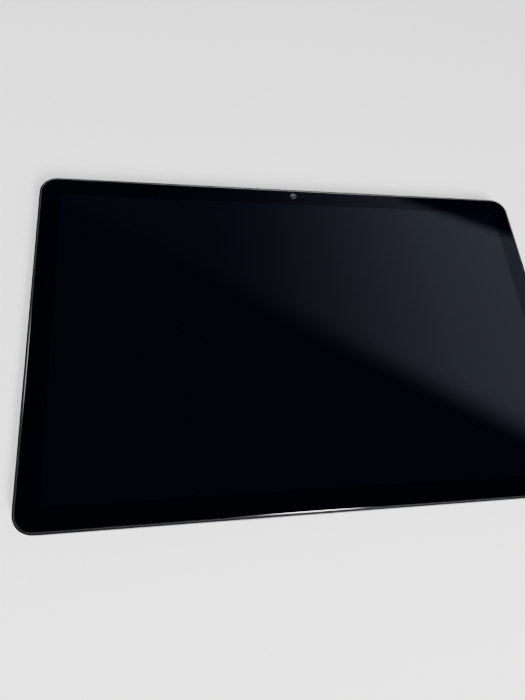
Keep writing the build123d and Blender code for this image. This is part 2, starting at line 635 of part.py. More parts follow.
def speaker_meshes():
    """Dust meshes over the slots, on the inside of the walls."""
    meshes = []
    for sx, sy in CORNERS.values():
        y = sy * SPEAKER_Y
        meshes.append(mirrored(block(X_WALL - 0.16, X_WALL - 0.04, y - 13, y + 13, 2.3, 4.0), sx))
    return group(*meshes)


# ---------------------------------------------------------------- cameras and light sensor
RING_R = 5.7  # the part that shows in the back
FLANGE_R = 6.5
WINDOW_R = 4.9
WINDOW_Z0, WINDOW_T = 0.1, 0.5
LENS_R = 2.8
LENS_Z0 = 0.95
FOCUS_TRAVEL = 0.25


def rear_camera_ring():
    """Turned metal ring, flush with the back, that frames the window and is bonded on its flange."""
    neck = disc(CAMERA_X, CAMERA_Y, RING_R, 0, BACK_T)
    neck = chamfer(neck.faces().sort_by(Axis.Z)[0].edges(), 0.12)
    flange = disc(CAMERA_X, CAMERA_Y, FLANGE_R, BACK_T, BACK_T + 0.3)
    seat = disc(CAMERA_X, CAMERA_Y, WINDOW_R + 0.03, -1, WINDOW_Z0 + WINDOW_T)
    return neck + flange - seat - disc(CAMERA_X, CAMERA_Y, WINDOW_R - 0.6, -1, BACK_T + 1)


def rear_camera_window():
    """Glass window let into the ring."""
    return disc(CAMERA_X, CAMERA_Y, WINDOW_R, WINDOW_Z0, WINDOW_Z0 + WINDOW_T)


def rear_camera_body():
    """Focus motor housing with its bore, on the sensor's base plate, with a cable to the main board."""
    body = pad(CAMERA_X, CAMERA_Y, 9.2, 9.2, 0.6, BACK_T + 0.35, 3.5)
    body += pad(CAMERA_X, CAMERA_Y, 9.8, 9.8, 0.4, 3.5, 4.2)
    cable = block(CAMERA_X + 4, -100.6, 62.0, 67.0, 2.51, 2.63)
    return body + cable - disc(CAMERA_X, CAMERA_Y, LENS_R + SLIDE, 0, 3.2)


def rear_camera_lens():
    """Lens barrel that moves to focus, with its front element."""
    barrel = disc(CAMERA_X, CAMERA_Y, LENS_R, LENS_Z0 + 0.3, 3.1)
    barrel += disc(CAMERA_X, CAMERA_Y, LENS_R - 0.4, LENS_Z0, LENS_Z0 + 0.3)
    barrel -= disc(CAMERA_X, CAMERA_Y, 1.3, LENS_Z0 - 1, LENS_Z0 + 0.5)
    element = disc(CAMERA_X, CAMERA_Y, 1.3, LENS_Z0 + 0.2, LENS_Z0 + 0.5)
    return group(barrel, element)


def front_camera():
    """Fixed-focus camera under the glass: square body, round barrel, front element."""
    y = FRONT_CAMERA_Y
    body = pad(0, y, 5.2, 5.0, 0.4, 3.0, 5.3)
    barrel = disc(0, y, 2.0, 5.3, 6.0) - disc(0, y, 1.0, 5.6, 7)
    element = disc(0, y, 1.0, 5.6, 5.9)
    cable = block(-2, 2, 74.0, y - 2.4, Z_BOARD - 0.12, Z_BOARD)
    return group(body + barrel + cable, element)


def light_sensor():
    """Ambient light sensor beside the front camera, on a flexible stem from the main board."""
    x, y = LIGHT_SENSOR_X, FRONT_CAMERA_Y
    sensor = block(x - 1.3, x + 1.3, y - 0.8, y + 0.8, 5.0, 6.0)
    stem = block(x - 1, x + 1, y - 0.1, y, Z_BOARD - 0.1, 5.1)
    return sensor + stem + block(x - 1, x + 1, 74.0, y, Z_BOARD - 0.1, Z_BOARD)


# ---------------------------------------------------------------- side keys
KEY_HEIGHT = 1.6
POWER_LENGTH = 11.5
VOLUME_LENGTH = 24.0
KEY_PROUD = 0.4
KEY_TRAVEL = 0.25
FLEX_Y = 81.3  # front face of the keys' flexible circuit
DOME_H = 0.35
TIP_Y = FLEX_Y + DOME_H + 0.05  # where each key's plunger waits over its dome
VOLUME_REACH = 8.0  # from the rocker's middle to each plunger
ROCKER_Y, ROCKER_R = Y_WALL - 0.35, 0.4  # upright pivot in the middle of the volume key
DOME_X = (POWER_X, VOLUME_X - VOLUME_REACH, VOLUME_X + VOLUME_REACH)


def key_cap(x, length, y0):
    """The part of a key that shows in the wall, its outer rim softened."""
    cap = slot_y(x, Z_KEYS, length, KEY_HEIGHT, y0, HALF_W + KEY_PROUD)
    return fillet(cap.faces().sort_by(Axis.Y)[-1].edges(), 0.2)


def power_button():
    """Power key with a flange that keeps it in and a plunger over its dome."""
    key = key_cap(POWER_X, POWER_LENGTH, Y_WALL - 0.2)
    key += slot_y(POWER_X, Z_KEYS, POWER_LENGTH + 2, KEY_HEIGHT + 0.4, Y_WALL - 0.6, Y_WALL - FIT)
    return key + hole_y(POWER_X, Z_KEYS, 0.8, TIP_Y, Y_WALL - 0.5)


def volume_rocker():
    """Volume key that rocks on its middle, with a plunger near each end."""
    key = key_cap(VOLUME_X, VOLUME_LENGTH, Y_WALL - 0.2)
    key += slot_y(VOLUME_X, Z_KEYS, 6, KEY_HEIGHT + 0.4, Y_WALL - 0.6, Y_WALL - 0.12)
    for side in (-1, 1):
        key += hole_y(VOLUME_X + side * VOLUME_REACH, Z_KEYS, 0.8, TIP_Y, Y_WALL - 0.1)
    return key + disc(VOLUME_X, ROCKER_Y, ROCKER_R, Z_KEYS - 1.3, Z_KEYS + 1.05)


def key_domes():
    """Snap domes under the plungers, three separate solids."""
    domes = []
    base_r = 1.1
    sphere_r = (base_r**2 + DOME_H**2) / (2 * DOME_H)
    for x in DOME_X:
        ball = Pos(x, FLEX_Y + DOME_H - sphere_r, Z_KEYS) * Sphere(sphere_r)
        domes.append(ball & block(x - 2, x + 2, FLEX_Y, FLEX_Y + 1, Z_KEYS - 2, Z_KEYS + 2))
    return group(*domes)


def key_flex():
    """Flexible circuit behind the domes, with its tail to the main board."""
    strip = block(POWER_X - 7, VOLUME_X + 13, FLEX_Y - 0.15, FLEX_Y, 1.9, 4.3)
    tail = block(-83, -77, 76.8, FLEX_Y - 0.1, 2.48, 2.63)
    lug = block(-83, -77, FLEX_Y - 0.15, FLEX_Y, 2.4, 2.7)
    return strip + lug + tail


def key_bracket():
    """Pressed steel bracket that backs the keys and hangs from the middle plate."""
    x0, x1 = POWER_X - 8, VOLUME_X + 14
    wall = block(x0, x1, FLEX_Y - 0.4, FLEX_Y - 0.15, 2.8, Z_PLATE)
    shelf = block(x0, x1, FLEX_Y - 1.9, FLEX_Y - 0.15, Z_PLATE - 0.25, Z_PLATE)
    return wall + shelf


# ---------------------------------------------------------------- card tray and its socket
TRAY_HEAD_L, TRAY_HEAD_H = 17.0, 1.8
TRAY_Z0 = 2.3
TRAY_T = 0.85
TRAY_LEFT, TRAY_RIGHT = TRAY_X - 8.0, TRAY_X + 4.2  # sides of the tray behind its head
TRAY_END = 65.7
ROD_X = TRAY_X + 6.4
ROD_HALF = 0.5
PIVOT_X, PIVOT_Y = TRAY_X + 2.9, 63.4
LEVER_ARM = 3.5
LEVER_HALF = 0.6
PIVOT_R = 0.55
ROD_TRAVEL = 1.4
SOCKET_Z0 = 1.95
SOCKET_SHEET = 0.15


def card_tray():
    """Tray for a memory card: a head flush with the wall, with an eject hole, and a bay for the card."""
    head = slot_y(TRAY_X, Z_KEYS, TRAY_HEAD_L, TRAY_HEAD_H, Y_WALL - 0.3, HALF_W)
    tray = head + block(TRAY_LEFT, TRAY_RIGHT, TRAY_END, Y_WALL, TRAY_Z0, TRAY_Z0 + TRAY_T)
    middle = (TRAY_LEFT + TRAY_RIGHT) / 2
    tray -= pad(middle, 74.2, 11.1, 15.1, 0.6, TRAY_Z0 + 0.25, TRAY_Z0 + 2)
    tray -= pad(middle, 72.5, 8.6, 9.0, 0.6, TRAY_Z0 - 1, TRAY_Z0 + 2)
    groove = slot_y(TRAY_X, Z_KEYS, TRAY_HEAD_L + 1, TRAY_HEAD_H + 1, SEAL_Y0 - 0.02, SEAL_Y0 + SEAL_T + 0.02)
    groove -= slot_y(TRAY_X, Z_KEYS, TRAY_HEAD_L - 0.6, TRAY_HEAD_H - 0.6, Y_WALL - 1, HALF_W)
    return tray - groove - hole_y(ROD_X, Z_KEYS, 0.45, Y_WALL - 1, HALF_W + 1)


SEAL_Y0 = Y_WALL + 0.25
SEAL_T = 0.4


def tray_seal():
    """Silicone ring in the groove round the tray's head."""
    seal = slot_y(TRAY_X, Z_KEYS, TRAY_HEAD_L + 0.08, TRAY_HEAD_H + 0.08, SEAL_Y0, SEAL_Y0 + SEAL_T)
    return seal - slot_y(TRAY_X, Z_KEYS, TRAY_HEAD_L - 0.58, TRAY_HEAD_H - 0.58, Y_WALL - 1, HALF_W)


def card_socket():
    """Pressed socket under the main board: floor, side walls, rod guide and the lever's pivot post."""
    x0, x1, y0, y1 = TRAY_X - 8.6, TRAY_X + 7.8, 60.9, 81.6
    floor = block(x0, x1, y0, y1, SOCKET_Z0, SOCKET_Z0 + SOCKET_SHEET)
    walls = [block(x0, x0 + 0.3, y0, y1, SOCKET_Z0, Z_BOARD), block(x1 - 0.3, x1, y0, y1, SOCKET_Z0, Z_BOARD)]
    back = block(x0, x1, y0, y0 + 0.3, SOCKET_Z0, Z_BOARD)
    guide = block(TRAY_RIGHT + 0.25, ROD_X - ROD_HALF - SLIDE, 68.0, 80.5, SOCKET_Z0, Z_BOARD)
    post = disc(PIVOT_X, PIVOT_Y, PIVOT_R, SOCKET_Z0, Z_BOARD)
    return floor + walls + back + guide + post


def eject_rod():
    """Rod behind the eject hole, pushed in by a pin."""
    shank = block(ROD_X - ROD_HALF, ROD_X + ROD_HALF, PIVOT_Y + LEVER_HALF + 0.3, 82.2, 2.35, 3.2)
    pad_end = block(ROD_X - ROD_HALF, ROD_X + ROD_HALF, 81.2, 82.2, 2.35, 3.6)
    return shank + pad_end


def eject_lever():
    """Lever that turns on the socket's post and carries the rod's push across to the tray's end."""
    half = LEVER_ARM + 0.4
    bar = Pos(PIVOT_X, PIVOT_Y, 2.35) * extrude(SlotOverall(2 * half + 0.6, 2 * LEVER_HALF), 0.8)
    hub = disc(PIVOT_X, PIVOT_Y, 1.1, 2.35, 3.15)
    return bar + hub - disc(PIVOT_X, PIVOT_Y, PIVOT_R + 0.05, 0, THICKNESS)


# ---------------------------------------------------------------- all the nodes
NODES = {
    "rear_cover": rear_cover,
    "antenna_bands": antenna_bands,
    "frame_rim": frame_rim,
    "mid_plate": mid_plate,
    "screws": screws,
    "cover_glass": cover_glass,
    "border_film": border_film,
    "glass_tape": glass_tape,
    "optical_adhesive": optical_adhesive,
    "polarisers": polarisers,
    "lcd_cell": lcd_cell,
    "backlight_frame": backlight_frame,
    "reflector_sheet": reflector_sheet,
    "light_guide": light_guide,
    "backlight_films": backlight_films,
    "backlight_leds": backlight_leds,
    "display_flex": display_flex,
    "battery_cell_left": lambda: battery_cell(-1),
    "battery_cell_right": lambda: battery_cell(1),
    "battery_guard_board": battery_guard_board,
    "battery_adhesive": battery_adhesive,
    "main_board": main_board,
    "shield_cans": shield_cans,
    "board_chips": board_chips,
    "board_connectors": board_connectors,
    "link_flex": link_flex,
    "sub_board": sub_board,
    "usb_shell": usb_shell,
    "usb_tongue": usb_tongue,
    "usb_seal": usb_seal,
    "jack_body": jack_body,
    "jack_contacts": jack_contacts,
    "microphones": microphones,
    "antennas": antennas,
    "speaker_motors": speaker_motors,
    "speaker_meshes": speaker_meshes,
    "rear_camera_ring": rear_camera_ring,
    "rear_camera_window": rear_camera_window,
    "rear_camera_body": rear_camera_body,
    "rear_camera_lens": rear_camera_lens,
    "front_camera": front_camera,
    "light_sensor": light_sensor,
    "power_button": power_button,
    "volume_rocker": volume_rocker,
    "key_domes": key_domes,
    "key_flex": key_flex,
    "key_bracket": key_bracket,
    "card_tray": card_tray,
    "tray_seal": tray_seal,
    "card_socket": card_socket,
    "eject_rod": eject_rod,
    "eject_lever": eject_lever,
}
for corner, (side_x, side_y) in CORNERS.items():
    NODES[f"speaker_box_{corner}"] = lambda sx=side_x, sy=side_y: speaker_box(sx, sy)
    NODES[f"speaker_diaphragm_{corner}"] = lambda sx=side_x, sy=side_y: speaker_diaphragm(sx, sy)


def main():
    """Builds each node and writes its STEP file."""
    os.makedirs("parts", exist_ok=True)
    for name, build in NODES.items():
        export_step(build(), f"parts/{name}.step")


if __name__ == "__main__":
    main()
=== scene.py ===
# %% [markdown]
# # A slim tablet computer
#
# The tablet is a thin metal tub with a pane of glass on top. Nearly all of what a person sees is
# two things: the glass, with its rounded edge and the black print behind it, and the dark metal
# round it. So this lesson spends its care on a few exact outlines and on how black things shine.
#
# The CAD model is loaded first. It says where every piece is and how it moves, and its inner
# pieces are kept as they are and given better finishes. The outer pieces are made again here,
# finely enough to look smooth close up.

# %% Load the frame
import json
import math

import bmesh
import bpy
import numpy as np
from mathutils import Matrix, Vector


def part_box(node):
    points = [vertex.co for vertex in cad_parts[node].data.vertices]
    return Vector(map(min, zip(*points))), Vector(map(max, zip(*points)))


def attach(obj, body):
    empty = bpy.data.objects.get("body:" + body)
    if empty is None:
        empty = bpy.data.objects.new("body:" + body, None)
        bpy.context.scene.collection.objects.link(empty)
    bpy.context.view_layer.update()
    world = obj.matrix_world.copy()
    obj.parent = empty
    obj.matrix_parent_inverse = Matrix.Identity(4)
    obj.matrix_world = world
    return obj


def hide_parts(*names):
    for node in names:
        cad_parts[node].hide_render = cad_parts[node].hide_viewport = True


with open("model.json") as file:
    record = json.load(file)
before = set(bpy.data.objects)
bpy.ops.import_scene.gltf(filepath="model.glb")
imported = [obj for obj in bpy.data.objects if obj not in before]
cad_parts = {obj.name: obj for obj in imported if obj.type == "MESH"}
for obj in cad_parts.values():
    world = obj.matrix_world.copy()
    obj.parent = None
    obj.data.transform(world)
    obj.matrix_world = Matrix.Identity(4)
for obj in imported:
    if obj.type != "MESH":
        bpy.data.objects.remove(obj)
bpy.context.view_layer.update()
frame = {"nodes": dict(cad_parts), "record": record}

MM = 0.001

# %% [markdown]
# ## Measures
#
# Lengths are in millimetres here, because that is how such a thing is drawn, and they become
# metres when a mesh is made. Where a CAD piece already has a measure it is read from that piece's
# box, so that nothing can drift apart.

# %% Read the main measures


def span(node):
    """The lowest and highest corner of a CAD piece, in millimetres."""
    low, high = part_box(node)
    return np.array(low) / MM, np.array(high) / MM


def midpoint(node, axis):
    """Half of a CAD piece's lowest plus its highest place along an axis."""
    return float(sum(corner[axis] for corner in span(node)) / 2)


cover_low, cover_high = span("rear_cover")
glass_low, glass_high = span("cover_glass")
HALF_L, HALF_W, WALL_TOP = (float(x) for x in cover_high)
TOP = float(glass_high[2])
GLASS_BOTTOM = float(glass_low[2])
IN_GLASS = HALF_L - float(glass_high[0])
CORNER_R = 8.5
BACK_T, WALL_T, LIP_T = 0.8, 1.4, 0.7
BACK_EDGE_R = 2.4
Z_STEP, Z_LEDGE, Z_LIP = 4.2, 6.1, 6.6
Z_KEYS = midpoint("power_button", 2)
print("body", round(2 * HALF_L, 1), "by", round(2 * HALF_W, 1), "by", round(TOP, 1), "mm")
print("glass starts", round(IN_GLASS, 2), "mm inside the outline, keys at height", round(Z_KEYS, 2))

# %% [markdown]
# ## Outlines and profiles
#
# Almost every outer piece is one idea: a flat outline with rounded corners, and a profile that
# is carried round it. A point of the profile says how far inside the outline it lies and how high
# it is. Because the outline's outward direction is known at each of its points, the whole
# surface is one line of array arithmetic, and every piece made from the same outline has its
# corner points in the same places, so that a hairline gap stays even all the way round.

# %% Outlines


def outline(half_a, half_b, radius, steps=14):
    """Points and outward directions round a rectangle with rounded corners, anticlockwise.

    Corner k is a quarter circle about its own centre: point = centre + radius * (cos t, sin t),
    with t running from 90 k - 90 to 90 k degrees. Where the radius is as large as the half height
    the shape is a slot with round ends.
    """
    t = np.linspace(0, np.pi / 2, steps + 1)[None, :] + (np.pi / 2 * (np.arange(4) - 1))[:, None]
    out = np.stack([np.cos(t), np.sin(t)], axis=-1)
    signs = np.array([[1, -1], [1, 1], [-1, 1], [-1, -1]], float)[:, None, :]
    centres = signs * (np.array([half_a, half_b]) - radius)
    points = (centres + radius * out).reshape(-1, 2)
    out = out.reshape(-1, 2)
    apart = np.linalg.norm(points - np.roll(points, 1, axis=0), axis=1) > 1e-6
    return points[apart], out[apart]


def carried(points, out, profile, at=(0.0, 0.0)):
    """A profile carried round an outline: ring j is the outline moved inwards by profile[j][0],
    at height profile[j][1]. Returns an array of rings, each an array of points."""
    profile = np.asarray(profile, float)
    flat = np.asarray(at) + points[None] - profile[:, 0, None, None] * out[None]
    high = np.broadcast_to(profile[:, 1, None, None], flat.shape[:2] + (1,))
    return np.concatenate([flat, high], axis=-1)


def arc(centre, radius_a, radius_b, start, end, steps):
    """Points on an ellipse's arc: centre + (radius_a * cos t, radius_b * sin t), t in degrees."""
    t = np.radians(np.linspace(start, end, steps + 1))
    return np.stack([centre[0] + radius_a * np.cos(t), centre[1] + radius_b * np.sin(t)], axis=-1)


body_points, body_out = outline(HALF_L, HALF_W, CORNER_R)
print("the body's outline has", len(body_points), "points")

# %% [markdown]
# A surface becomes a mesh by joining each ring of points to the next with four-sided faces. An
# open run of rings gets a flat cap at each end, and a closed one, such as the section of a rim,
# joins its last ring to its first. Shells are plain pairs of arrays, so several can be put
# together before Blender sees them.

# %% Shells


def shell(rings, loop=False, capped=True):
    """Surface through rings of points. Face (j, i) joins points i and i+1 of ring j to the same
    points of ring j+1. With loop, the last ring joins the first; otherwise both ends are closed
    by one flat face, unless they are left uncapped."""
    rings = np.asarray(rings, float)
    m, n = rings.shape[:2]
    index = np.arange(m * n).reshape(m, n)
    if loop:
        index = np.vstack([index, index[:1]])
    low, high = index[:-1], index[1:]
    quads = np.stack([low, np.roll(low, -1, 1), np.roll(high, -1, 1), high], axis=-1)
    faces = quads.reshape(-1, 4).tolist()
    if capped and not loop:
        faces += [index[0, ::-1].tolist(), index[-1].tolist()]
    return rings.reshape(-1, 3), faces


def block(size, profile, at=(0.0, 0.0), loop=False):
    """The shell of a rounded outline, size being outline's four numbers, and a profile."""
    return shell(carried(*outline(*size), profile, at), loop)


def box(low, high):
    """A plain block between two corners, as a shell."""
    (x0, y0, z0), (x1, y1, z1) = low, high
    square = np.array([[x0, y0], [x1, y0], [x1, y1], [x0, y1]], float)
    rings = [np.column_stack([square, np.full(4, z)]) for z in (z0, z1)]
    return shell(rings)


def together(*shells):
    """Several shells as one: points stacked, and each shell's faces moved on by the points before."""
    starts = np.cumsum([0] + [len(p) for p, _ in shells])
    faces = [[i + int(s) for i in f] for (_, fs), s in zip(shells, starts) for f in fs]
    return np.vstack([p for p, _ in shells]), faces


def along_x(made):
    """A shell drawn lying flat, stood up so that its height runs along +X: (a, b, h) to (h, a, b)."""
    return made[0][:, [2, 0, 1]], made[1]


def along_y(made):
    """A shell drawn lying flat, stood up so that its height runs along +Y: (a, b, h) to (a, h, b)."""
    return made[0][:, [0, 2, 1]], made[1]


def across(made, side):
    """The shell itself for side 1, or its mirror image in X for side -1."""
    return made[0] * [side, 1, 1], made[1]


# %% [markdown]
# A shell is turned into a Blender object here. Its faces are made to point outwards, since
# standing a shell up or mirroring it can turn it inside out. Edges sharper than an angle stay
# crisp, and the rest are shaded smooth with weighted normals, which keeps large flat faces
# looking flat right up to a small round.

# %% Pieces


def mesh_of(name, made):
    """A Blender mesh from a shell in millimetres, with its faces turned outwards."""
    mesh = bpy.data.meshes.new(name)
    mesh.from_pydata((made[0] * MM).tolist(), [], made[1])
    work = bmesh.new()
    work.from_mesh(mesh)
    bmesh.ops.recalc_face_normals(work, faces=work.faces)
    work.to_mesh(mesh)
    work.free()
    return mesh


def thing(name, made):
    """An object in the scene from a shell."""
    obj = bpy.data.objects.new(name, mesh_of(name, made))
    bpy.context.scene.collection.objects.link(obj)
    return obj


def cut(obj, tools, operation="DIFFERENCE"):
    """Takes closed shells out of a piece, or adds them, and keeps the result as its own mesh."""
    tool = thing("tool", together(*tools))
    change = obj.modifiers.new("cut", "BOOLEAN")
    change.operation = operation
    change.solver = "EXACT"
    change.object = tool
    ready = obj.evaluated_get(bpy.context.evaluated_depsgraph_get())
    mesh = bpy.data.meshes.new_from_object(ready)
    obj.modifiers.clear()
    obj.data = mesh
    bpy.data.objects.remove(tool)
    return obj


PIECES = {}


def finished(obj, body, slot, nodes, angle=32):
    """Shades a piece, makes it ride on its body, hides the CAD pieces that it stands for and notes its slot."""
    obj.data.name = obj.name
    obj.data.shade_smooth()
    obj.data.set_sharp_from_angle(angle=math.radians(angle))
    weighted = obj.modifiers.new("weighted normals", "WEIGHTED_NORMAL")
    weighted.keep_sharp = True
    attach(obj, body)
    if nodes:
        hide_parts(*nodes)
    PIECES[obj.name] = slot
    print(obj.name, len(obj.data.vertices), "points,", len(obj.data.polygons), "faces")
    return obj


# %% [markdown]
# ## The metal tub
#
# The real tub is milled from a sheet of aluminium: a flat back, a round that turns up into the
# side, and a thin lip that stands beside the glass. Its section is drawn once, from the back's
# flat face outwards, up the wall, over the lip and down the inside to the floor, and carried
# round the body. The openings are then cut with shaped tools. Each tool widens at the surface,
# because a real edge has a small break that catches the light, and a plain cut would look like
# paper.

# %% The tub's section and its cutting tools
tub_section = np.vstack([
    arc((BACK_EDGE_R, BACK_EDGE_R), BACK_EDGE_R, BACK_EDGE_R, 270, 180, 14),
    [[0, 3.4], [0, 4.4], [0, 5.4]],
    [[0, WALL_TOP - 0.28], [0.03, WALL_TOP - 0.22], [0.22, WALL_TOP - 0.03], [0.28, WALL_TOP]],
    [[LIP_T - 0.05, WALL_TOP], [LIP_T, WALL_TOP - 0.05], [LIP_T, Z_STEP], [WALL_T, Z_STEP]],
    arc((WALL_T + 0.6, BACK_T + 0.6), 0.6, 0.6, 180, 270, 5),
])
tub_rings = carried(body_points, body_out, tub_section)


def slot_tool(a, b, long, high, start, face, flare=0.14, steps=10):
    """A bar with round ends for cutting an opening: the slot's outline from start to just under
    the face, then widened by flare as it comes out. Drawn flat at (a, b); its height is depth."""
    profile = [(0, start), (0, face - flare), (-flare, face), (-flare - 0.2, face + 0.2)]
    return block((long / 2, high / 2, high / 2 - 1e-4, steps), profile, (a, b))


def hole_tool(a, b, radius, start, face, flare=0.1, steps=12):
    """A round bar for cutting a hole: a slot as long as it is high, widened in the same way."""
    return slot_tool(a, b, 2 * radius, 2 * radius, start, face, flare, steps)


SPEAKER_Y = midpoint("speaker_box_top_right", 1)
JACK_Y, JACK_Z, JACK_R = -19.0, 2.82, 1.95
USB_Z = midpoint("usb_tongue", 2)
SIDE_MIC_Y, TOP_MIC_X = 12.0, 20.0
TRAY_X = midpoint("card_tray", 0)
POWER_X = midpoint("power_button", 0)
VOLUME_X = midpoint("volume_rocker", 0)
CAMERA_X, CAMERA_Y = midpoint("rear_camera_ring", 0), midpoint("rear_camera_ring", 1)
KEY_H, POWER_L, VOLUME_L, TRAY_L, TRAY_H, PLAY = 1.6, 11.5, 24.0, 17.0, 1.8, 0.1
BANDS = (28.0, 112.0)
print("speakers at", SPEAKER_Y, "tray at", TRAY_X, "keys at", POWER_X, VOLUME_X, "camera", CAMERA_X, CAMERA_Y)

# %% Cut the tub
SLOT_STEPS = 3.6 * (np.arange(7) - 3)
tools = [
    across(along_x(slot_tool(up * SPEAKER_Y + y, Z_KEYS, 2.7, 1.3, HALF_L - 2.2, HALF_L)), side)
    for side in (-1, 1) for up in (-1, 1) for y in SLOT_STEPS
]
tools.append(along_x(slot_tool(0, USB_Z, 9.2, 3.5, HALF_L - 2.6, HALF_L, 0.2, 16)))
tools.append(along_x(hole_tool(JACK_Y, JACK_Z, JACK_R, HALF_L - 2.6, HALF_L, 0.18, 16)))
tools.append(along_x(hole_tool(SIDE_MIC_Y, Z_KEYS, 0.5, HALF_L - 2.6, HALF_L)))
tools.append(along_y(hole_tool(TOP_MIC_X, Z_KEYS, 0.5, HALF_W - 2.6, HALF_W)))
for x, long, high in ((POWER_X, POWER_L, KEY_H), (VOLUME_X, VOLUME_L, KEY_H), (TRAY_X, TRAY_L, TRAY_H)):
    tools.append(along_y(slot_tool(x, Z_KEYS, long + 2 * PLAY, high + 2 * PLAY, HALF_W - 2.6, HALF_W, 0.1)))
ring_profile = [(-0.3, -0.3), (-0.12, 0), (0, 0.12), (0, BACK_T + 0.4)]
tools.append(block((5.75, 5.75, 5.7499, 24), ring_profile, (CAMERA_X, CAMERA_Y)))
tools.append(box((HALF_L - 2.4, JACK_Y - 3.1, BACK_T), (HALF_L - WALL_T, JACK_Y + 3.1, 2)))
band_boxes = [box((x - 0.7, HALF_W - 6, -1), (x + 0.7, HALF_W + 1, WALL_TOP + 1)) for x in BANDS]
tub = cut(thing("metal_tub", shell(tub_rings)), tools)
tub = cut(tub, band_boxes)
finished(tub, "chassis", "anodised_aluminium", ["rear_cover"])

# %% [markdown]
# Radio waves don't pass through metal, so the top wall is parted twice and the gaps are filled
# with plastic that is moulded in before the whole is blasted and dyed. The fillings are the very
# same section cut down to the two gaps, so they are flush by construction.

# %% The plastic bands
bands = cut(thing("aerial_bands", shell(tub_rings)), [
    box((x - 0.68, HALF_W - 5.98, -1), (x + 0.68, HALF_W + 1, WALL_TOP + 1)) for x in BANDS
], "INTERSECT")
finished(bands, "chassis", "band_plastic", ["antenna_bands"])

# %% [markdown]
# ## The rim that holds the glass
#
# A black plastic rim drops into the tub. Only its thin lip shows, as a dark line between metal
# and glass, but the lip's rounded top is what keeps that line soft. Its section is a closed loop:
# lip, ledge for the tape, and a groove that grips the middle plate. Hooks below it snap into the
# tub's wall.

# %% The rim
LIP_OUT = LIP_T + 0.05
rim_section = np.vstack([
    [[LIP_OUT, Z_STEP + 0.02]],
    arc((LIP_OUT + 0.09, Z_LIP - 0.09), 0.09, 0.09, 180, 0, 6),
    [[LIP_OUT + 0.18, Z_LEDGE], [2.0, Z_LEDGE], [2.0, 4.78], [1.5, 4.78], [1.5, 4.38], [2.0, 4.38]],
    [[2.0, Z_STEP + 0.02]],
])
rim = thing("glass_rim", shell(carried(body_points, body_out, rim_section), loop=True))


def hooks():
    """Each hook is a tongue down from the rim with a tooth on its outer side, turned to its edge."""
    shells = []
    places = [(x, HALF_W, 180) for x in (-46.0, -10.0, 44.0, 72.0, 98.0)]
    places += [(x, -HALF_W, 0) for x in np.arange(-108.0, 109.0, 27.0)]
    places += [(side * HALF_L, y, 90 * side) for side in (-1, 1) for y in (-26.5, 26.0)]
    for x, y, turn in places:
        c, s = math.cos(math.radians(turn)), math.sin(math.radians(turn))
        rotate = np.array([[c, s, 0], [-s, c, 0], [0, 0, 1]])
        for low, high in (((-3.5, 1.45, 2.5), (3.5, 1.98, 4.3)), ((-3.5, 1.15, 2.7), (3.5, 1.5, 3.3))):
            points, faces = box(low, high)
            shells.append((points @ rotate + [x, y, 0], faces))
    return shells


rim = cut(rim, hooks(), "UNION")
FRONT_CAMERA_Y = HALF_W - 4.3
rim = cut(rim, [
    box((HALF_L - 2.4, -5.3, Z_STEP - 1), (HALF_L, 5.3, 5.15)),
    box((HALF_L - 2.4, JACK_Y - 3.2, Z_STEP - 1), (HALF_L, JACK_Y + 3.2, 4.9)),
    box((-3.2, FRONT_CAMERA_Y - 3.2, Z_STEP - 1), (3.2, FRONT_CAMERA_Y + 2.9, Z_LEDGE + 0.2)),
])
finished(rim, "chassis", "black_plastic", ["frame_rim"])

# %% [markdown]
# ## The cover glass and what lies right behind it
#
# The pane is toughened glass whose upper edge is ground to an ellipse, about twice as wide as it
# is deep. That edge is the one bright line on a tablet that is switched off, so it gets sixteen
# steps. Behind it lies the black print with its window. The glass is set a hundredth of a
# millimetre above the print, so that a ray never meets two faces at one place.

# %% Glass and print
EDGE_A, EDGE_B = 0.85, 0.45
glass_section = np.vstack([
    [[IN_GLASS + 0.1, GLASS_BOTTOM + 0.01], [IN_GLASS, GLASS_BOTTOM + 0.11]],
    arc((IN_GLASS + EDGE_A, TOP - EDGE_B), EDGE_A, EDGE_B, 180, 90, 16),
])
glass = thing("glass_pane", shell(carried(body_points, body_out, glass_section)))
finished(glass, "chassis", "cover_glass", ["cover_glass"], angle=40)

BORDER = 10.2
PICTURE_L, PICTURE_W = HALF_L - BORDER, HALF_W - BORDER
SENSOR_X = 5.3
print_section = [(IN_GLASS + 0.15, GLASS_BOTTOM - 0.05), (IN_GLASS + 0.15, GLASS_BOTTOM)]
border = thing("black_print", shell(carried(body_points, body_out, print_section)))
border = cut(border, [
    box((-PICTURE_L, -PICTURE_W, 5), (PICTURE_L, PICTURE_W, 7)),
    hole_tool(0, FRONT_CAMERA_Y, 1.8, 5, 8),
    hole_tool(SENSOR_X, FRONT_CAMERA_Y, 0.7, 5, 8),
])
finished(border, "chassis", "border_ink", ["border_film"])

# %% [markdown]
# Clear adhesive fills the space between the pane and the picture films. It is a thin slab with a
# raised middle that fits the print's window, and it too stops a hundredth short of what it bonds.

# %% The clear adhesive
sheet_low, sheet_high = span("optical_adhesive")
adhesive = cut(
    thing("clear_adhesive", box((*sheet_low[:2], sheet_low[2] + 0.01), (*sheet_high[:2], GLASS_BOTTOM - 0.06))),
    [box((-PICTURE_L + 0.05, -PICTURE_W + 0.05, GLASS_BOTTOM - 0.1),
         (PICTURE_L - 0.05, PICTURE_W - 0.05, GLASS_BOTTOM - 0.005))], "UNION")
finished(adhesive, "chassis", "clear_adhesive", ["optical_adhesive"])

# %% [markdown]
# ## Things that are turned
#
# Lenses and rings are turned on a lathe, so they are made the same way: a profile of radius and
# height, spun about an upright axis. A profile that starts or ends on the axis is closed there
# with a single flat or pointed cap of tiny radius.

# %% Turned shells


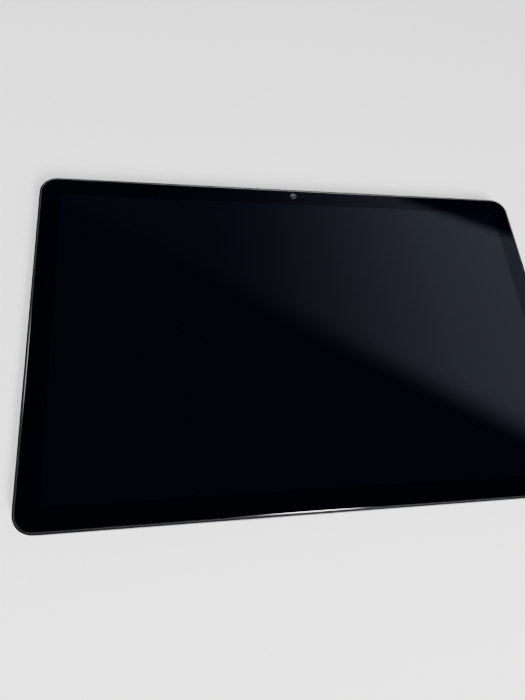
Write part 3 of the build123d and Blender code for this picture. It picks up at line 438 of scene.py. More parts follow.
def turned(profile, at, steps=12, loop=False, capped=True):
    """A profile of (radius, height) pairs spun about the upright line through at: ring j is a
    circle of radius profile[j][0] at height profile[j][1]."""
    profile = np.asarray(profile, float)
    t = np.linspace(0, 2 * np.pi, 4 * steps, endpoint=False)
    circle = np.stack([np.cos(t), np.sin(t)], axis=-1)
    flat = np.asarray(at, float) + np.maximum(profile[:, 0], 1e-3)[:, None, None] * circle[None]
    high = np.broadcast_to(profile[:, 1, None, None], flat.shape[:2] + (1,))
    return shell(np.concatenate([flat, high], axis=-1), loop, capped)


# %% [markdown]
# The front camera looks out through a hole in the print. What shows is a grey funnel with a dark
# lens at its bottom, so the funnel has three steps that catch light, and the lens is domed.

# %% The front camera
front_at = (0, FRONT_CAMERA_Y)
camera_block = block((2.6, 2.5, 0.4, 4), [(0, 3.0), (0, 5.2), (0.1, 5.3)], front_at)
barrel = turned([(2.0, 5.25), (2.0, 5.95), (1.95, 6.0), (1.7, 6.0), (1.6, 5.9), (1.3, 5.84), (1.25, 5.74),
                 (1.0, 5.7), (0.95, 5.62), (0, 5.62)], front_at, 14)
cable = box((-2, 74.0, 3.23), (2, FRONT_CAMERA_Y - 2.4, 3.35))
front = thing("front_camera_body", together(camera_block, barrel, cable))
finished(front, "chassis", "camera_plastic", ["front_camera"])
dome = turned(np.vstack([[[0.93, 5.64]], arc((0, 5.64), 0.93, 0.2, 0, 90, 8)]), front_at, 12)
front_lens = thing("front_camera_lens", dome)
finished(front_lens, "chassis", "lens_glass", [])

# %% [markdown]
# The rear camera sits behind a metal ring that is flush with the back, and a pane of glass. The
# ring's edge is broken at 45 degrees so that it reads as a bright circle. Inside, the focus motor
# carries a lens barrel with a stepped, baffled mouth.

# %% The rear camera
rear_at = (CAMERA_X, CAMERA_Y)
ring_section = [(5.7, 0.8), (5.7, 0.12), (5.58, 0.0), (5.03, 0.0), (4.93, 0.1), (4.93, 0.6), (4.3, 0.6),
                (4.3, 1.1), (6.5, 1.1), (6.5, 0.8)]
camera_ring = thing("camera_ring", turned(ring_section, rear_at, 24, loop=True))
finished(camera_ring, "chassis", "camera_metal", ["rear_camera_ring"])
pane_section = [(0, 0.1), (4.82, 0.1), (4.9, 0.18), (4.9, 0.6), (0, 0.6)]
camera_pane = thing("camera_window", turned(pane_section, rear_at, 24))
finished(camera_pane, "chassis", "lens_glass", ["rear_camera_window"])
barrel_section = [(0, 3.1), (2.8, 3.1), (2.8, 1.3), (2.75, 1.25), (2.4, 1.25), (2.4, 1.0), (2.35, 0.95), (1.9, 0.95),
                  (1.85, 1.05), (1.6, 1.05), (1.55, 1.15), (1.35, 1.15), (1.3, 1.35), (0, 1.35)]
lens_barrel = thing("lens_barrel", turned(barrel_section, rear_at, 18))
finished(lens_barrel, "lens", "camera_plastic", ["rear_camera_lens"])
lens_front = turned(np.vstack([arc((0, 1.36), 1.28, 0.32, 0, -90, 10)[::-1], [[1.28, 1.4], [0, 1.4]]]), rear_at, 14)
finished(thing("lens_front", lens_front), "lens", "lens_glass", [])

# %% [markdown]
# ## Keys and tray
#
# A key is a slot-shaped bar whose face is rounded over at its rim, with a wider flange inside the
# wall so that it can't fall out, and a plunger behind it. All three are shells that overlap, and
# are welded into one skin.

# %% Keys
Y_WALL = HALF_W - WALL_T


def bar(x, z, long, high, start, end, soften=0.0, steps=12):
    """A slot-shaped bar through the top wall from start to end, its outer rim rounded over."""
    rim = arc((soften, end - soften), soften, soften, 180, 90, 6).tolist() if soften else [(0, end)]
    return along_y(block((long / 2, high / 2, high / 2 - 1e-4, steps), [(0, start), *rim], (x, z)))


def rod_y(x, z, radius, start, end):
    """A round bar through the top wall: one that is as long as it is high."""
    return bar(x, z, 2 * radius, 2 * radius, start, end, steps=6)


KEY_FACE = float(span("power_button")[1][1])
TIP_Y = float(span("power_button")[0][1])
power = thing("power_key_cap", bar(POWER_X, Z_KEYS, POWER_L, KEY_H, Y_WALL - 0.3, KEY_FACE, 0.22))
power = cut(power, [bar(POWER_X, Z_KEYS, POWER_L + 2, KEY_H + 0.4, Y_WALL - 0.6, Y_WALL - 0.05)], "UNION")
power = cut(power, [rod_y(POWER_X, Z_KEYS, 0.8, TIP_Y + 0.27, Y_WALL - 0.4)], "UNION")
finished(power, "power_key", "anodised_aluminium", ["power_button"])

volume = thing("volume_key_cap", bar(VOLUME_X, Z_KEYS, VOLUME_L, KEY_H, Y_WALL - 0.2, KEY_FACE, 0.22))
volume = cut(volume, [bar(VOLUME_X, Z_KEYS, 6, KEY_H + 0.4, Y_WALL - 0.6, Y_WALL - 0.12)], "UNION")
volume = cut(volume, [rod_y(VOLUME_X + s * 8.0, Z_KEYS, 0.8, TIP_Y + 0.2, Y_WALL - 0.1) for s in (-1, 1)], "UNION")
pivot = turned([(0.4, Z_KEYS - 1.3), (0.4, Z_KEYS + 1.05)], (VOLUME_X, Y_WALL - 0.35), 5)
volume = cut(volume, [pivot], "UNION")
finished(volume, "volume_key", "anodised_aluminium", ["volume_rocker"])

# %% [markdown]
# The card tray is a head that closes the wall and a thin blade with a bay for the card. The bay
# is cut in two depths, so that the card lies on a ledge and its contacts show through. A small
# hole in the head lets a pin reach the eject rod.

# %% The card tray
tray_low, tray_high = span("card_tray")
BLADE_X0, BLADE_X1, TRAY_END = TRAY_X - 8.0, TRAY_X + 4.2, float(tray_low[1])
BLADE_Z0, BLADE_Z1 = 2.3, 3.15
middle = (BLADE_X0 + BLADE_X1) / 2
head = bar(TRAY_X, Z_KEYS, TRAY_L, TRAY_H, Y_WALL - 0.3, HALF_W, 0.1)
tray = thing("card_tray_body", head)
blade = block(((BLADE_X1 - BLADE_X0) / 2, (Y_WALL - TRAY_END) / 2, 0.5, 5), [
    (0.06, BLADE_Z0), (0, BLADE_Z0 + 0.06), (0, BLADE_Z1 - 0.06), (0.06, BLADE_Z1)],
    (middle, (Y_WALL + TRAY_END) / 2))
tray = cut(tray, [blade], "UNION")


def pocket(x, y, long, wide, radius, start, end):
    """A block with rounded corners for cutting a bay."""
    return block((long / 2, wide / 2, radius, 5), [(0, start), (0, end)], (x, y))


tray = cut(tray, [pocket(middle, 74.2, 11.1, 15.1, 0.6, BLADE_Z0 + 0.25, 4)])
tray = cut(tray, [pocket(middle, 72.5, 8.6, 9.0, 0.6, 1, 4)])
groove_low, groove_high = span("tray_seal")
groove = along_y(block((TRAY_L / 2 + 1, TRAY_H / 2 + 1, TRAY_H / 2 + 0.9, 12), [
    (0, groove_low[1] - 0.02), (0, groove_high[1] + 0.02), (1.3, groove_high[1] + 0.02), (1.3, groove_low[1] - 0.02),
], (TRAY_X, Z_KEYS), loop=True))
tray = cut(tray, [groove])
PIN_X = midpoint("eject_rod", 0)
tray = cut(tray, [along_y(hole_tool(PIN_X, Z_KEYS, 0.45, Y_WALL - 1, HALF_W, 0.06, 6))])
finished(tray, "tray", "anodised_aluminium", ["card_tray"])

# %% [markdown]
# ## Ports
#
# The charging port is a drawn steel tube with a flattened section, rolled outwards a little at
# its mouth, round a thin tongue that carries gold contacts on both faces.

# %% The charging port
USB_IN_X, USB_OUT_X = float(span("usb_shell")[0][0]), float(span("usb_shell")[1][0])
tube_section = [(0, USB_IN_X), (0, USB_OUT_X - 0.05), (0.05, USB_OUT_X), (0.2, USB_OUT_X), (0.3, USB_OUT_X - 0.15),
                (0.3, USB_IN_X)]
tube = along_x(block((8.94 / 2, 3.26 / 2, 3.26 / 2 - 1e-4, 14), tube_section, (0, USB_Z), loop=True))
feet = [box((121.2, min(s * 4.45, s * 6.0), 3.95), (122.8, max(s * 4.45, s * 6.0), 4.15)) for s in (-1, 1)]
port = thing("port_tube", together(tube, *feet))
finished(port, "chassis", "port_steel", ["usb_shell"])

base_profile = [(0, USB_IN_X), (0, USB_IN_X + 1.5), (0.1, USB_IN_X + 1.6)]
base = along_x(block((8.32 / 2, 2.54 / 2, 2.54 / 2 - 1e-4, 12), base_profile, (0, USB_Z)))
tongue_profile = [(0, USB_IN_X + 1.5), (0, USB_OUT_X - 1.3), (0.15, USB_OUT_X - 1.1)]
tongue = along_x(block((3.35, 0.35, 0.12, 3), tongue_profile, (0, USB_Z)))
moulding = cut(thing("port_tongue", base), [tongue], "UNION")
finished(moulding, "chassis", "camera_plastic", ["usb_tongue"])

pads = []
for k in range(12):
    y = 0.5 * (k - 5.5)
    for side in (-1, 1):
        z = sorted((USB_Z + side * 0.34, USB_Z + side * 0.365))
        pads.append(box((USB_IN_X + 1.7, y - 0.13, z[0]), (USB_OUT_X - 1.7, y + 0.13, z[1])))
finished(thing("port_contacts", together(*pads)), "chassis", "gold_spring", [])

# %% [markdown]
# The earphone socket is a plain moulded block. Its bore and the four small rooms for the springs
# beside it are cut out of one box.

# %% The earphone socket
jack_low, jack_high = span("jack_body")
JACK_X0, JACK_X1 = float(jack_low[0]), float(jack_high[0])
JACK_BORE, JACK_DEPTH = 1.78, 12.0
jack = thing("earphone_socket", box((JACK_X0, JACK_Y - 3, JACK_Z - 1.94), (JACK_X1, JACK_Y + 3, JACK_Z + 1.94)))
bore_profile = [(0, JACK_X1 - JACK_DEPTH), (0, JACK_X1 - 0.12), (-0.12, JACK_X1), (-0.12, JACK_X1 + 1)]
bore = along_x(block((JACK_BORE, JACK_BORE, JACK_BORE - 1e-4, 16), bore_profile, (JACK_Y, JACK_Z)))
rooms = []
for k in range(4):
    x, side = JACK_X1 - 2.6 - 2.6 * k, (-1) ** k
    y = sorted((JACK_Y + side * 2.03, JACK_Y + side * 3.1))
    rooms.append(box((x - 0.6, y[0], JACK_Z - 1.2), (x + 0.6, y[1], JACK_Z + 1.2)))
jack = cut(jack, [bore, *rooms])
finished(jack, "chassis", "black_plastic", ["jack_body"])

# %% [markdown]
# ## Finishes as arithmetic
#
# A finish is a small network of nodes. It is easier to read as arithmetic, so one small class
# wraps a node's output and lets it be added, multiplied and compared like a number; each step
# adds a Math node. Everything else comes from one method that makes a node, sets it, and joins
# its sockets. What varies over the surface goes only to colour, roughness, bump and the share
# of a mix, and whatever is the same all over is set on the shader itself.

# %% The classes for finishes


class Field:
    """A number that varies over a surface: a node's output that arithmetic can be written on."""

    def __init__(self, finish, socket):
        self.finish = finish
        self.socket = socket

    def math(self, operation, *values):
        """One Math node: the operation of the values, in order."""
        return self.finish.node("ShaderNodeMath", {"operation": operation}, dict(enumerate(values)))

    def __add__(self, other):
        return self.math("ADD", self, other)

    def __sub__(self, other):
        return self.math("SUBTRACT", self, other)

    def __rsub__(self, other):
        return self.math("SUBTRACT", other, self)

    def __mul__(self, other):
        return self.math("MULTIPLY", self, other)

    def __truediv__(self, other):
        return self.math("DIVIDE", self, other)

    def __pow__(self, other):
        return self.math("POWER", self, other)

    def __abs__(self):
        return self.math("ABSOLUTE", self)

    __radd__, __rmul__ = __add__, __mul__

    def above(self, limit):
        """1 where this is over the limit, and 0 elsewhere."""
        return self.math("GREATER_THAN", self, limit)

    def below(self, limit):
        """1 where this is under the limit, and 0 elsewhere."""
        return self.math("LESS_THAN", self, limit)

    def cycle(self, step):
        """How far along its present step this is, from 0 to 1: the fraction of self / step."""
        return self.math("FRACT", self / step)

    def ease(self, low, high):
        """0 below low, 1 above high, and a smooth rise between."""
        return self.finish.node("ShaderNodeMapRange", {"interpolation_type": "SMOOTHSTEP"}, {
            "Value": self, "From Min": low, "From Max": high})


class Finish:
    """One procedural material, lamp or room while its nodes are being made."""

    def __init__(self, name, owner=None):
        self.material = owner or bpy.data.materials.new(name)
        self.material.use_nodes = True
        self.tree = self.material.node_tree
        self.tree.nodes.clear()
        self.place = self.node("ShaderNodeTexCoord", {}, {}, "Object")

    def node(self, kind, settings, inputs, output=0):
        """Adds a node of a kind, applies its settings, fills its sockets, and wraps one output."""
        made = self.tree.nodes.new(kind)
        for key, value in settings.items():
            setattr(made, key, value)
        for key, value in inputs.items():
            if isinstance(value, Field):
                self.tree.links.new(value.socket, made.inputs[key])
            else:
                made.inputs[key].default_value = value
        return None if output is None else Field(self, made.outputs[output])

    def scaled(self, factors):
        """The place on the piece with each axis multiplied by a factor, to stretch a pattern."""
        return self.node("ShaderNodeVectorMath", {"operation": "MULTIPLY"}, {0: self.place, 1: factors})

    def noise(self, per_metre, detail=2.0, stretch=None, roughness=0.5):
        """Cloudy noise from 0 to 1 with about so many lumps in a metre."""
        where = self.scaled(stretch) if stretch else self.place
        return self.node("ShaderNodeTexNoise", {"noise_dimensions": "3D"}, {
            "Vector": where, "Scale": per_metre, "Detail": detail, "Roughness": roughness})

    def axes(self):
        """The place's three numbers."""
        made = self.tree.nodes.new("ShaderNodeSeparateXYZ")
        self.tree.links.new(self.place.socket, made.inputs[0])
        return [Field(self, s) for s in made.outputs]

    def colours(self, share, first, second):
        """A colour between two, by a share that varies."""
        return self.node("ShaderNodeMix", {"data_type": "RGBA"}, {
            0: share, 6: first if isinstance(first, Field) else (*first, 1),
            7: second if isinstance(second, Field) else (*second, 1)}, 2)

    def bump(self, height, depth, strength=1.0):
        """A bump from a height field, depth in metres."""
        return self.node("ShaderNodeBump", {}, {"Height": height, "Distance": depth, "Strength": strength})

    def mixed(self, share, first, second):
        """A shader between two, by a share that varies."""
        return self.node("ShaderNodeMixShader", {}, {0: share, 1: first, 2: second})

    def surface(self, **sockets):
        """The main shader, with its sockets given by name, and _ for a space."""
        named = {key.replace("_", " "): value for key, value in sockets.items()}
        return self.node("ShaderNodeBsdfPrincipled", {}, named)

    def done(self, shader, kind="Material"):
        """Joins the shader to the output, and gives back what it was made for."""
        self.node(f"ShaderNodeOutput{kind}", {}, {"Surface": shader}, None)
        return self.material


# %% [markdown]
# ## Metals
#
# The tub is blasted with fine beads and then anodised and dyed, which leaves a soft, even shine
# with a very fine tooth. Rolled and drawn metals show a grain along one direction instead: the
# same noise, stretched thirty times. Both vary a little in roughness, as handled metal does.

# %% Metal finishes


def blasted(name, colour, rough):
    """Bead-blasted and dyed aluminium: fine tooth, soft patches in its sheen."""
    f = Finish(name)
    tooth = f.noise(9000, 1.0)
    patches = f.noise(14, 3.0)
    shade = f.colours(patches.ease(0.3, 0.7), tuple(0.9 * c for c in colour), tuple(1.08 * c for c in colour))
    return f.done(f.surface(
        Base_Color=shade, Metallic=0.6, Roughness=rough + 0.05 * patches + 0.06 * tooth, Specular_IOR_Level=0.15,
        Normal=f.bump(tooth, 0.000004, 0.35)))


def grained(name, colour, rough, along=0, grain=1600, metal=1.0):
    """Rolled or drawn metal, with its grain along axis number along."""
    f = Finish(name)
    stretch = [1.0, 1.0, 1.0]
    stretch[along] = 0.03
    lines = f.noise(grain, 3.0, tuple(stretch))
    stains = f.noise(60, 3.0)
    shade = f.colours(stains.ease(0.35, 0.75), colour, tuple(0.82 * c for c in colour))
    return f.done(f.surface(
        Base_Color=shade, Metallic=metal, Roughness=rough + 0.18 * lines + 0.06 * stains,
        Normal=f.bump(lines, 0.000006, 0.4)))


# %% [markdown]
# ## Plastics, films and boards
#
# Moulded plastic has a fine leathery spark-eroded skin. Films are smooth with faint waves. A
# circuit board is a coloured lacquer over copper: the tracks show as raised lines under it, and
# bare pads show as tinned dots where two grids of lines cross.

# %% Plastic, film and board finishes


def moulded(name, colour, rough, grain=2600, depth=0.000008):
    """Moulded plastic with an eroded skin."""
    f = Finish(name)
    skin = f.noise(grain, 2.0)
    flow = f.noise(90, 2.0)
    shade = f.colours(flow.ease(0.3, 0.7), colour, tuple(min(1.0, 1.12 * c + 0.002) for c in colour))
    return f.done(f.surface(Base_Color=shade, Roughness=rough + 0.12 * skin, Normal=f.bump(skin, depth, 0.5)))


def sheeted(name, colour, rough, alpha=1.0):
    """A smooth film with faint long waves in it."""
    f = Finish(name)
    waves = f.noise(40, 2.0, (1.0, 0.3, 1.0))
    shade = f.colours(waves.ease(0.3, 0.7), colour, tuple(0.96 * c for c in colour))
    return f.done(f.surface(Base_Color=shade, Roughness=rough + 0.05 * waves, Alpha=alpha,
                            Normal=f.bump(waves, 0.00001, 0.3)))


def lacquered_board(name, lacquer, copper):
    """Circuit board: lacquer over raised tracks, with tinned pads."""
    f = Finish(name)
    x, y, _ = f.axes()
    bend = f.noise(120, 0.0)
    tracks = abs(x.cycle(0.0011) - 0.5).below(0.16) * bend.above(0.46)
    cross = abs(y.cycle(0.0013) - 0.5).below(0.14) * bend.below(0.44)
    lines = tracks + cross
    dots = f.node("ShaderNodeTexVoronoi", {"feature": "F1"}, {"Vector": f.place, "Scale": 420.0, "Randomness": 0.6})
    pads = dots.below(0.13)
    shade = f.colours(lines, lacquer, tuple(1.5 * c + 0.01 for c in lacquer))
    shade = f.colours(pads, shade, copper)
    return f.done(f.surface(
        Base_Color=shade, Metallic=0.9 * pads, Roughness=0.38 - 0.1 * pads + 0.06 * bend,
        Normal=f.bump(lines + 0.5 * pads, 0.00002, 0.5)))


def flexible(name, colour, copper):
    """Flat cable: amber film over fine copper lines."""
    f = Finish(name)
    x, y, _ = f.axes()
    lines = abs((x + y).cycle(0.00042) - 0.5).below(0.26)
    shade = f.colours(lines, colour, copper)
    return f.done(f.surface(
        Base_Color=shade, Roughness=0.34 + 0.08 * f.noise(300), Normal=f.bump(lines, 0.000012, 0.5)))


def crinkled(name, colour):
    """Laminated foil of a battery pouch: soft crinkles and a satin shine."""
    f = Finish(name)
    folds = f.noise(150, 4.0, None, 0.6)
    large = f.noise(22, 2.0)
    shade = f.colours(large.ease(0.3, 0.7), colour, tuple(0.8 * c for c in colour))
    return f.done(f.surface(
        Base_Color=shade, Metallic=0.7, Roughness=0.36 + 0.12 * folds, Normal=f.bump(folds + large, 0.00012, 0.5)))


def woven(name, colour):
    """Fine dust mesh: wires over and under, with painted shade in the holes."""
    f = Finish(name)
    _, y, z = f.axes()
    across_wire = abs(y.cycle(0.00018) - 0.5)
    up_wire = abs(z.cycle(0.00018) - 0.5)
    hole = across_wire.above(0.22) * up_wire.above(0.22)
    # The near-black colour in the holes is painted shade, standing for the dark space behind the open weave.
    shade = f.colours(hole, colour, (0.002, 0.002, 0.002))
    return f.done(f.surface(
        Base_Color=shade, Metallic=0.8 - 0.8 * hole, Roughness=0.4 + 0.3 * hole,
        Normal=f.bump(across_wire + up_wire, 0.00003, 0.6)))


# %% [markdown]
# ## Black glass
#
# A clear pane is mixed from two shaders, clear and mirror, by the share that such glass reflects:
# about a twenty-fifth of the light, more at a slant. Only the side that faces out mirrors. Light
# isn't bent on its way through, so the inner side would meet it at too flat a slant and throw all
# of it back.
#
# The cover glass is bonded to what lies behind it, and nearly all of that is black. Seen from
# outside, the two are one black mirror, so that is how its shader is written, which also gives a
# much calmer render than a mix of clear and mirror. The picture area's films throw back a trace
# of light of their own, so it mirrors a little more strongly than the print, and its edge can just
# be made out where something bright is mirrored. Over the camera and the light sensor the glass
# stays clear. Faint smears blur the mirror, and a little dust lies on it.

# %% Glass finishes


def clear_glass(f, tint, index, rough):
    """A mix of clear and mirror, by the share that such glass reflects at each slant."""
    share = f.node("ShaderNodeFresnel", {}, {"IOR": index})
    share = share * (1 - f.node("ShaderNodeNewGeometry", {}, {}, "Backfacing"))
    mirror = f.surface(Base_Color=(1, 1, 1, 1), Metallic=1.0, Roughness=rough)
    clear = f.node("ShaderNodeBsdfTransparent", {}, {"Color": (*tint, 1)})
    return f.mixed(share, clear, mirror)


def pane(name, tint=(1.0, 1.0, 1.0), index=1.5):
    """Clear glass with faint smears."""
    f = Finish(name)
    return f.done(clear_glass(f, tint, index, 0.01 + 0.02 * f.noise(200, 2.0)))


def bonded_pane(name):
    """Glass bonded to black films: a black mirror, 1.6 times as strong over the picture films,
    where abs(x) and abs(y) are small, and clear where (x - x0)^2 + (y - y0)^2 < r^2."""
    f = Finish(name)
    x, y, _ = f.axes()
    rough = 0.01 + 0.03 * f.noise(28, 4.0, (1.0, 0.45, 1.0), 0.6).ease(0.5, 0.85)
    over_print = f.surface(Base_Color=(0.0001, 0.0001, 0.0001, 1), Roughness=rough, Specular_IOR_Level=0.5)
    over_films = f.surface(Base_Color=(0.0003, 0.0003, 0.0004, 1), Roughness=rough, Specular_IOR_Level=0.8)
    picture = abs(x).below(PICTURE_L * MM) * abs(y).below(PICTURE_W * MM)
    y = y - FRONT_CAMERA_Y * MM
    windows = (x * x + y * y).below((2.4 * MM) ** 2)
    x = x - SENSOR_X * MM
    windows = windows + (x * x + y * y).below((1.3 * MM) ** 2)
    glassy = f.mixed(windows, f.mixed(picture, over_print, over_films), clear_glass(f, (1, 1, 1), 1.5, rough))
    cells = f.node("ShaderNodeTexVoronoi", {"feature": "F1"}, {"Vector": f.place, "Scale": 95.0})
    specks = cells.below(0.018) * f.noise(37, 1.0).above(0.52)
    lint = f.surface(Base_Color=(0.5, 0.5, 0.5, 1), Roughness=0.9)
    return f.done(f.mixed(specks * 0.1, glassy, lint))


def coated_lens(name):
    """A small dark lens with a faint violet coating, as even as polish leaves it."""
    f = Finish(name)
    swirl = f.noise(500, 2.0)
    shade = f.colours(swirl.ease(0.35, 0.65), (0.006, 0.006, 0.012), (0.012, 0.008, 0.022))
    return f.done(f.surface(Base_Color=shade, Roughness=0.03 + 0.02 * swirl, IOR=1.6, Coat_Weight=1.0,
                            Coat_Roughness=0.02, Coat_Tint=(0.75, 0.7, 1.0, 1)))


def dark_films(name, colour, rough, level):
    """Black film or print, with a shine of the given level and faint waves in its shade."""
    f = Finish(name)
    waves = f.noise(18, 2.0)
    shade = f.colours(waves.ease(0.35, 0.65), colour, tuple(1.2 * c for c in colour))
    return f.done(f.surface(Base_Color=shade, Roughness=rough + 0.02 * waves, Specular_IOR_Level=level))


# %% [markdown]
# ## Handing out the finishes
#
# Every slot of the record gets one finish, and each piece, new or from CAD, takes the finish of
# its slot.

# %% One finish for each slot
FINISHES = {
    # Part of this near-black tone is the metal's own graphite dye, and part is painted shade: the colour is set
    # darker than the dyed metal is, as if it lay in shadow.
    "anodised_aluminium": blasted("dark anodised aluminium", (0.010, 0.0104, 0.012), 0.28),
    "band_plastic": moulded("band plastic", (0.030, 0.031, 0.034), 0.5),
    "black_plastic": moulded("black rim plastic", (0.010, 0.010, 0.011), 0.42),
    "plate_alloy": grained("rolled plate", (0.62, 0.62, 0.63), 0.3, 0, 900),
    "screw_steel": grained("black zinc screws", (0.16, 0.16, 0.17), 0.28, 2, 4000),
    "cover_glass": bonded_pane("cover glass"),
    "border_ink": dark_films("black print", (0.0001, 0.0001, 0.0001), 0.6, 0.0),
    "tape": moulded("foam tape", (0.02, 0.02, 0.02), 0.8, 1800, 0.00003),
    "clear_adhesive": pane("clear adhesive", index=1.05),
    "polariser_film": dark_films("polariser", (0.0003, 0.0003, 0.0004), 0.5, 0.0),
    "cell_glass": dark_films("cell glass", (0.03, 0.035, 0.04), 0.08, 0.5),
    "white_plastic": moulded("white backlight frame", (0.82, 0.82, 0.80), 0.45),
    "reflector_film": sheeted("white reflector", (0.93, 0.93, 0.93), 0.35),
    "acrylic": pane("light guide acrylic", (0.97, 0.99, 0.98), 1.49),
    "diffuser_film": sheeted("diffuser films", (0.88, 0.88, 0.87), 0.5),
    "led_package": moulded("lamp phosphor", (0.9, 0.8, 0.35), 0.3, 6000),
    "polyimide_flex": flexible("amber flat cable", (0.30, 0.11, 0.02), (0.50, 0.22, 0.06)),
    "foil_pouch": crinkled("battery foil", (0.34, 0.35, 0.37)),
    "circuit_board": lacquered_board("board lacquer", (0.01, 0.045, 0.06), (0.75, 0.66, 0.45)),
    "shield_steel": grained("tinned shields", (0.62, 0.61, 0.57), 0.28, 0, 1400),
    "chip_epoxy": moulded("chip epoxy", (0.016, 0.016, 0.017), 0.5, 8000),
    "connector_plastic": moulded("connector plastic", (0.72, 0.68, 0.56), 0.4),
    "port_steel": grained("drawn port steel", (0.55, 0.55, 0.56), 0.22, 0, 2500),
    "silicone": moulded("silicone", (0.03, 0.03, 0.033), 0.62, 1500),
    "gold_spring": grained("gold plating", (0.90, 0.66, 0.28), 0.2, 0, 4000),
    "microphone_can": grained("microphone can", (0.68, 0.67, 0.64), 0.3, 2, 3000),
    "aerial_plastic": moulded("aerial plastic", (0.05, 0.05, 0.053), 0.5),
    "speaker_plastic": moulded("speaker plastic", (0.018, 0.018, 0.02), 0.48),
    "magnet_steel": grained("magnet steel", (0.48, 0.48, 0.50), 0.3, 1, 1800),
    "diaphragm_film": sheeted("diaphragm film", (0.10, 0.08, 0.06), 0.25),
    "mesh_steel": woven("dust mesh", (0.10, 0.10, 0.105)),
    "camera_metal": blasted("camera ring metal", (0.075, 0.077, 0.083), 0.24),
    "lens_glass": coated_lens("coated lens"),
    "camera_plastic": moulded("camera plastic", (0.02, 0.02, 0.022), 0.4),
    "dome_steel": grained("spring steel", (0.66, 0.65, 0.62), 0.25, 0, 3000),
}
slots = {s["node"]: s["material_slot"] for s in frame["record"]["subparts"]}
for name, obj in frame["nodes"].items():
    obj.data.materials.clear()
    obj.data.materials.append(FINISHES[slots[name]])
for name, slot in PIECES.items():
    bpy.data.objects[name].data.materials.clear()
    bpy.data.objects[name].data.materials.append(FINISHES[slot])
print(len(FINISHES), "finishes on", len(slots), "CAD pieces and", len(PIECES), "new ones")

# %% [markdown]
# A few pieces differ from their slot's finish. The camera window is clear, so that the lens
# behind it shows. The front camera's funnel and lens are a paler grey than other camera plastic,
# because they make the camera show as a small grey dot in the black border, while the light
# sensor's window is smoked and hardly shows.

# %% Pieces with their own finish
own = {
    "camera_window": pane("camera window glass", (0.9, 0.92, 0.95), 1.6),
    "front_camera_body": moulded("grey camera funnel", (0.029, 0.029, 0.034), 0.4),
    "front_camera_lens": moulded("grey camera lens", (0.020, 0.020, 0.026), 0.12),
    "light_sensor": moulded("smoked sensor window", (0.003, 0.003, 0.003), 0.3),
    "microphones": moulded("microphone mesh", (0.02, 0.02, 0.021), 0.6),
}
for name, material in own.items():
    own_piece = frame["nodes"].get(name) or bpy.data.objects[name]
    own_piece.data.materials[0] = material

# %% [markdown]
# ## Floor, light and camera
#
# The floor is a plain pale sheet that turns up into a wall far away, all in one, as in a studio.
# The glass is a mirror, so what hangs above it matters more than how bright it is. The space
# that it mirrors is kept dark, but for one dim panel with soft edges far to the right: its image
# is the grey sheen on the glass. The wall fades out as it rises, so that the glass mirrors it as
# a soft gradient, and not as a bright area with a hard edge.

# %% Floor
bend_up = arc((2300, 700), 700, 700, 270, 360, 16)
floor = thing("floor", turned(np.vstack([[[0, 0], [1200, 0]], bend_up, [[3000, 2100]]]), (0, 0), 32, capped=False))
floor.data.shade_smooth()
f = Finish("pale floor")
pale = f.surface(Base_Color=f.colours(f.noise(3, 2.0), (0.80, 0.79, 0.77), (0.84, 0.83, 0.81)), Roughness=0.85)
open_air = f.node("ShaderNodeBsdfTransparent", {}, {})
floor.data.materials.append(f.done(f.mixed(f.axes()[2].ease(0.5, 1.9), pale, open_air)))
print("floor", len(floor.data.polygons), "faces")

# %% [markdown]
# The dim panel's brightness is a product of three easings: one that grows towards the right, and
# one at each of its two slanting edges. An edge is a straight line, so how far a point lies
# beyond it is a sum of its two coordinates, each times a constant. The camera and the floor
# don't see the panel, only what mirrors it does.

# %% The dim panel
SHEEN_HEIGHT = 1.2
corners = np.array([[-0.9, -0.4], [1.9, -0.4], [1.9, 1.9], [-0.9, 1.9]]) / MM
panel_ring = np.column_stack([corners, np.full(4, SHEEN_HEIGHT / MM)])
sheen = thing("dim_panel", (panel_ring, [[0, 1, 2, 3]]))
f = Finish("dim panel")
x, y, _ = f.axes()
near_edge = (0.487 * x + 0.874 * y).ease(0.63, 0.76)
far_edge = 1 - (0.344 * x + 0.939 * y).ease(1.24, 1.30)
glow = (0.05 + 0.95 * x.ease(-0.1, 1.1) ** 1.5) * near_edge * far_edge
lit = f.node("ShaderNodeEmission", {}, {"Color": (0.64, 0.71, 0.98, 1), "Strength": 0.57})
unlit = f.node("ShaderNodeBsdfTransparent", {}, {})
sheen.data.materials.append(f.done(f.mixed(glow, unlit, lit)))
sheen.visible_camera = sheen.visible_diffuse = sheen.visible_shadow = False

# %% [markdown]
# The lamps stand clear of the space that the glass mirrors. A large one from the left does most
# of the work. Two at the front and one at the left are low, small and strong: the rounded edge of
# the glass draws each out into a bright line. One stands below the floor, for the back. A lamp's
# light falls off towards its edges, like a real soft box, which keeps its image in the glass soft.

# %% Lights


def soft_light(name, place, aim, size, power, mirrored=True):
    """A rectangular lamp at place, facing aim, that fades out towards its four edges: 2.4 times
    hill(u) times hill(v), each a rise and a fall. One that isn't mirrored only lights things."""
    lamp = bpy.data.lights.new(name, "AREA")
    lamp.shape = "RECTANGLE"
    lamp.size, lamp.size_y = size
    lamp.energy = power
    f = Finish(name, lamp)
    f.place = f.node("ShaderNodeTexCoord", {}, {}, "UV")
    u, v, _ = f.axes()
    fading = 2.4 * u.ease(0, 0.35) * (1 - u.ease(0.65, 1)) * v.ease(0, 0.35) * (1 - v.ease(0.65, 1))
    f.done(f.node("ShaderNodeEmission", {}, {"Strength": fading}), "Light")
    obj = bpy.data.objects.new(name, lamp)
    obj.location = place
    obj.rotation_euler = (Vector(aim) - Vector(place)).to_track_quat("-Z", "Y").to_euler()
    obj.visible_camera = False
    obj.visible_glossy = mirrored
    bpy.context.scene.collection.objects.link(obj)
    return obj


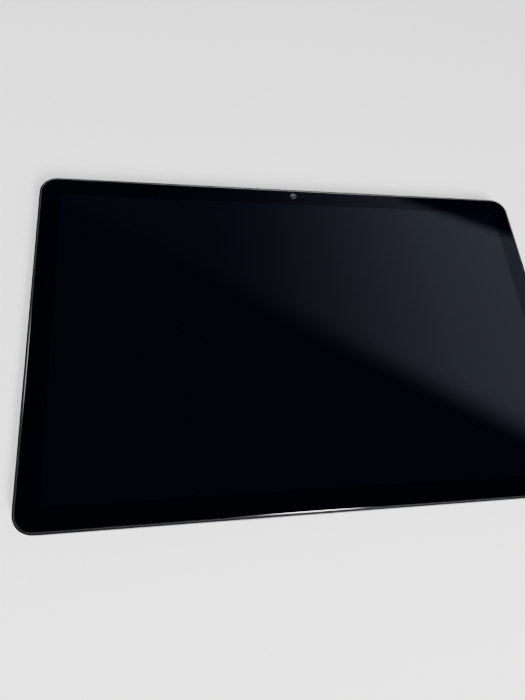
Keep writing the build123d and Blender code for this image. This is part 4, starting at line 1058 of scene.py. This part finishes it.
soft_light("large light", (-0.75, -0.85, 1.25), (0, 0, 0), (0.9, 0.9), 47, mirrored=False)
soft_light("right light", (1.35, -0.25, 0.6), (0, 0, 0), (0.8, 0.5), 14, mirrored=False)
soft_light("low front light", (0.33, -1.04, 0.655), (0, -0.08, 0), (0.24, 0.7), 46)
soft_light("wide front light", (0.31, -1.06, 0.665), (0, -0.08, 0), (0.42, 0.5), 7)
soft_light("low left light", (-1.16, 0.41, 0.44), (-0.12, 0, 0), (0.3, 0.4), 4.5)
soft_light("far light", (0.35, 1.45, 0.5), (0, 0, 0), (1.2, 0.3), 8)
soft_light("light from below", (-0.5, -0.5, -1.1), (0, 0, 0), (1.2, 1.2), 60)

# %% [markdown]
# The room itself is a dim blue, which the black glass picks up where nothing else is mirrored.
# Only a straight look into the distance meets a plain grey instead.

# %% The room
f = Finish("dim room", bpy.data.worlds.new("dim room"))
blue = f.node("ShaderNodeBackground", {}, {"Color": (0.14, 0.30, 1.0, 1), "Strength": 0.065})
distance = f.node("ShaderNodeBackground", {}, {"Color": (0.75, 0.75, 0.74, 1)})
straight_look = f.node("ShaderNodeLightPath", {}, {}, "Is Camera Ray")
bpy.context.scene.world = f.done(f.mixed(straight_look, blue, distance), "World")

# %% [markdown]
# The camera is placed by its eye point and three turns: round the upright axis, down, and a roll
# about its own line of sight. Its right and up directions are turned against each other by that
# roll, and the three directions together are its rotation matrix.

# %% Camera
EYE = Vector((-0.07436, -0.10206, 0.22999))
TURN, DOWN, ROLL = (math.radians(a) for a in (28.08, 64.87, 25.14))
look = Vector((math.sin(TURN) * math.cos(DOWN), math.cos(TURN) * math.cos(DOWN), -math.sin(DOWN)))
right = Vector((math.cos(TURN), -math.sin(TURN), 0))
up = right.cross(look)
right, up = (
    math.cos(ROLL) * right + math.sin(ROLL) * up,
    math.cos(ROLL) * up - math.sin(ROLL) * right,
)
lens = bpy.data.cameras.new("camera")
lens.sensor_width, lens.lens = 36, 27.24
lens.clip_start = 0.005
camera = bpy.data.objects.new("camera", lens)
camera.matrix_world = Matrix.Translation(EYE) @ Matrix((right, up, -look)).transposed().to_4x4()
bpy.context.scene.collection.objects.link(camera)
bpy.context.scene.camera = camera
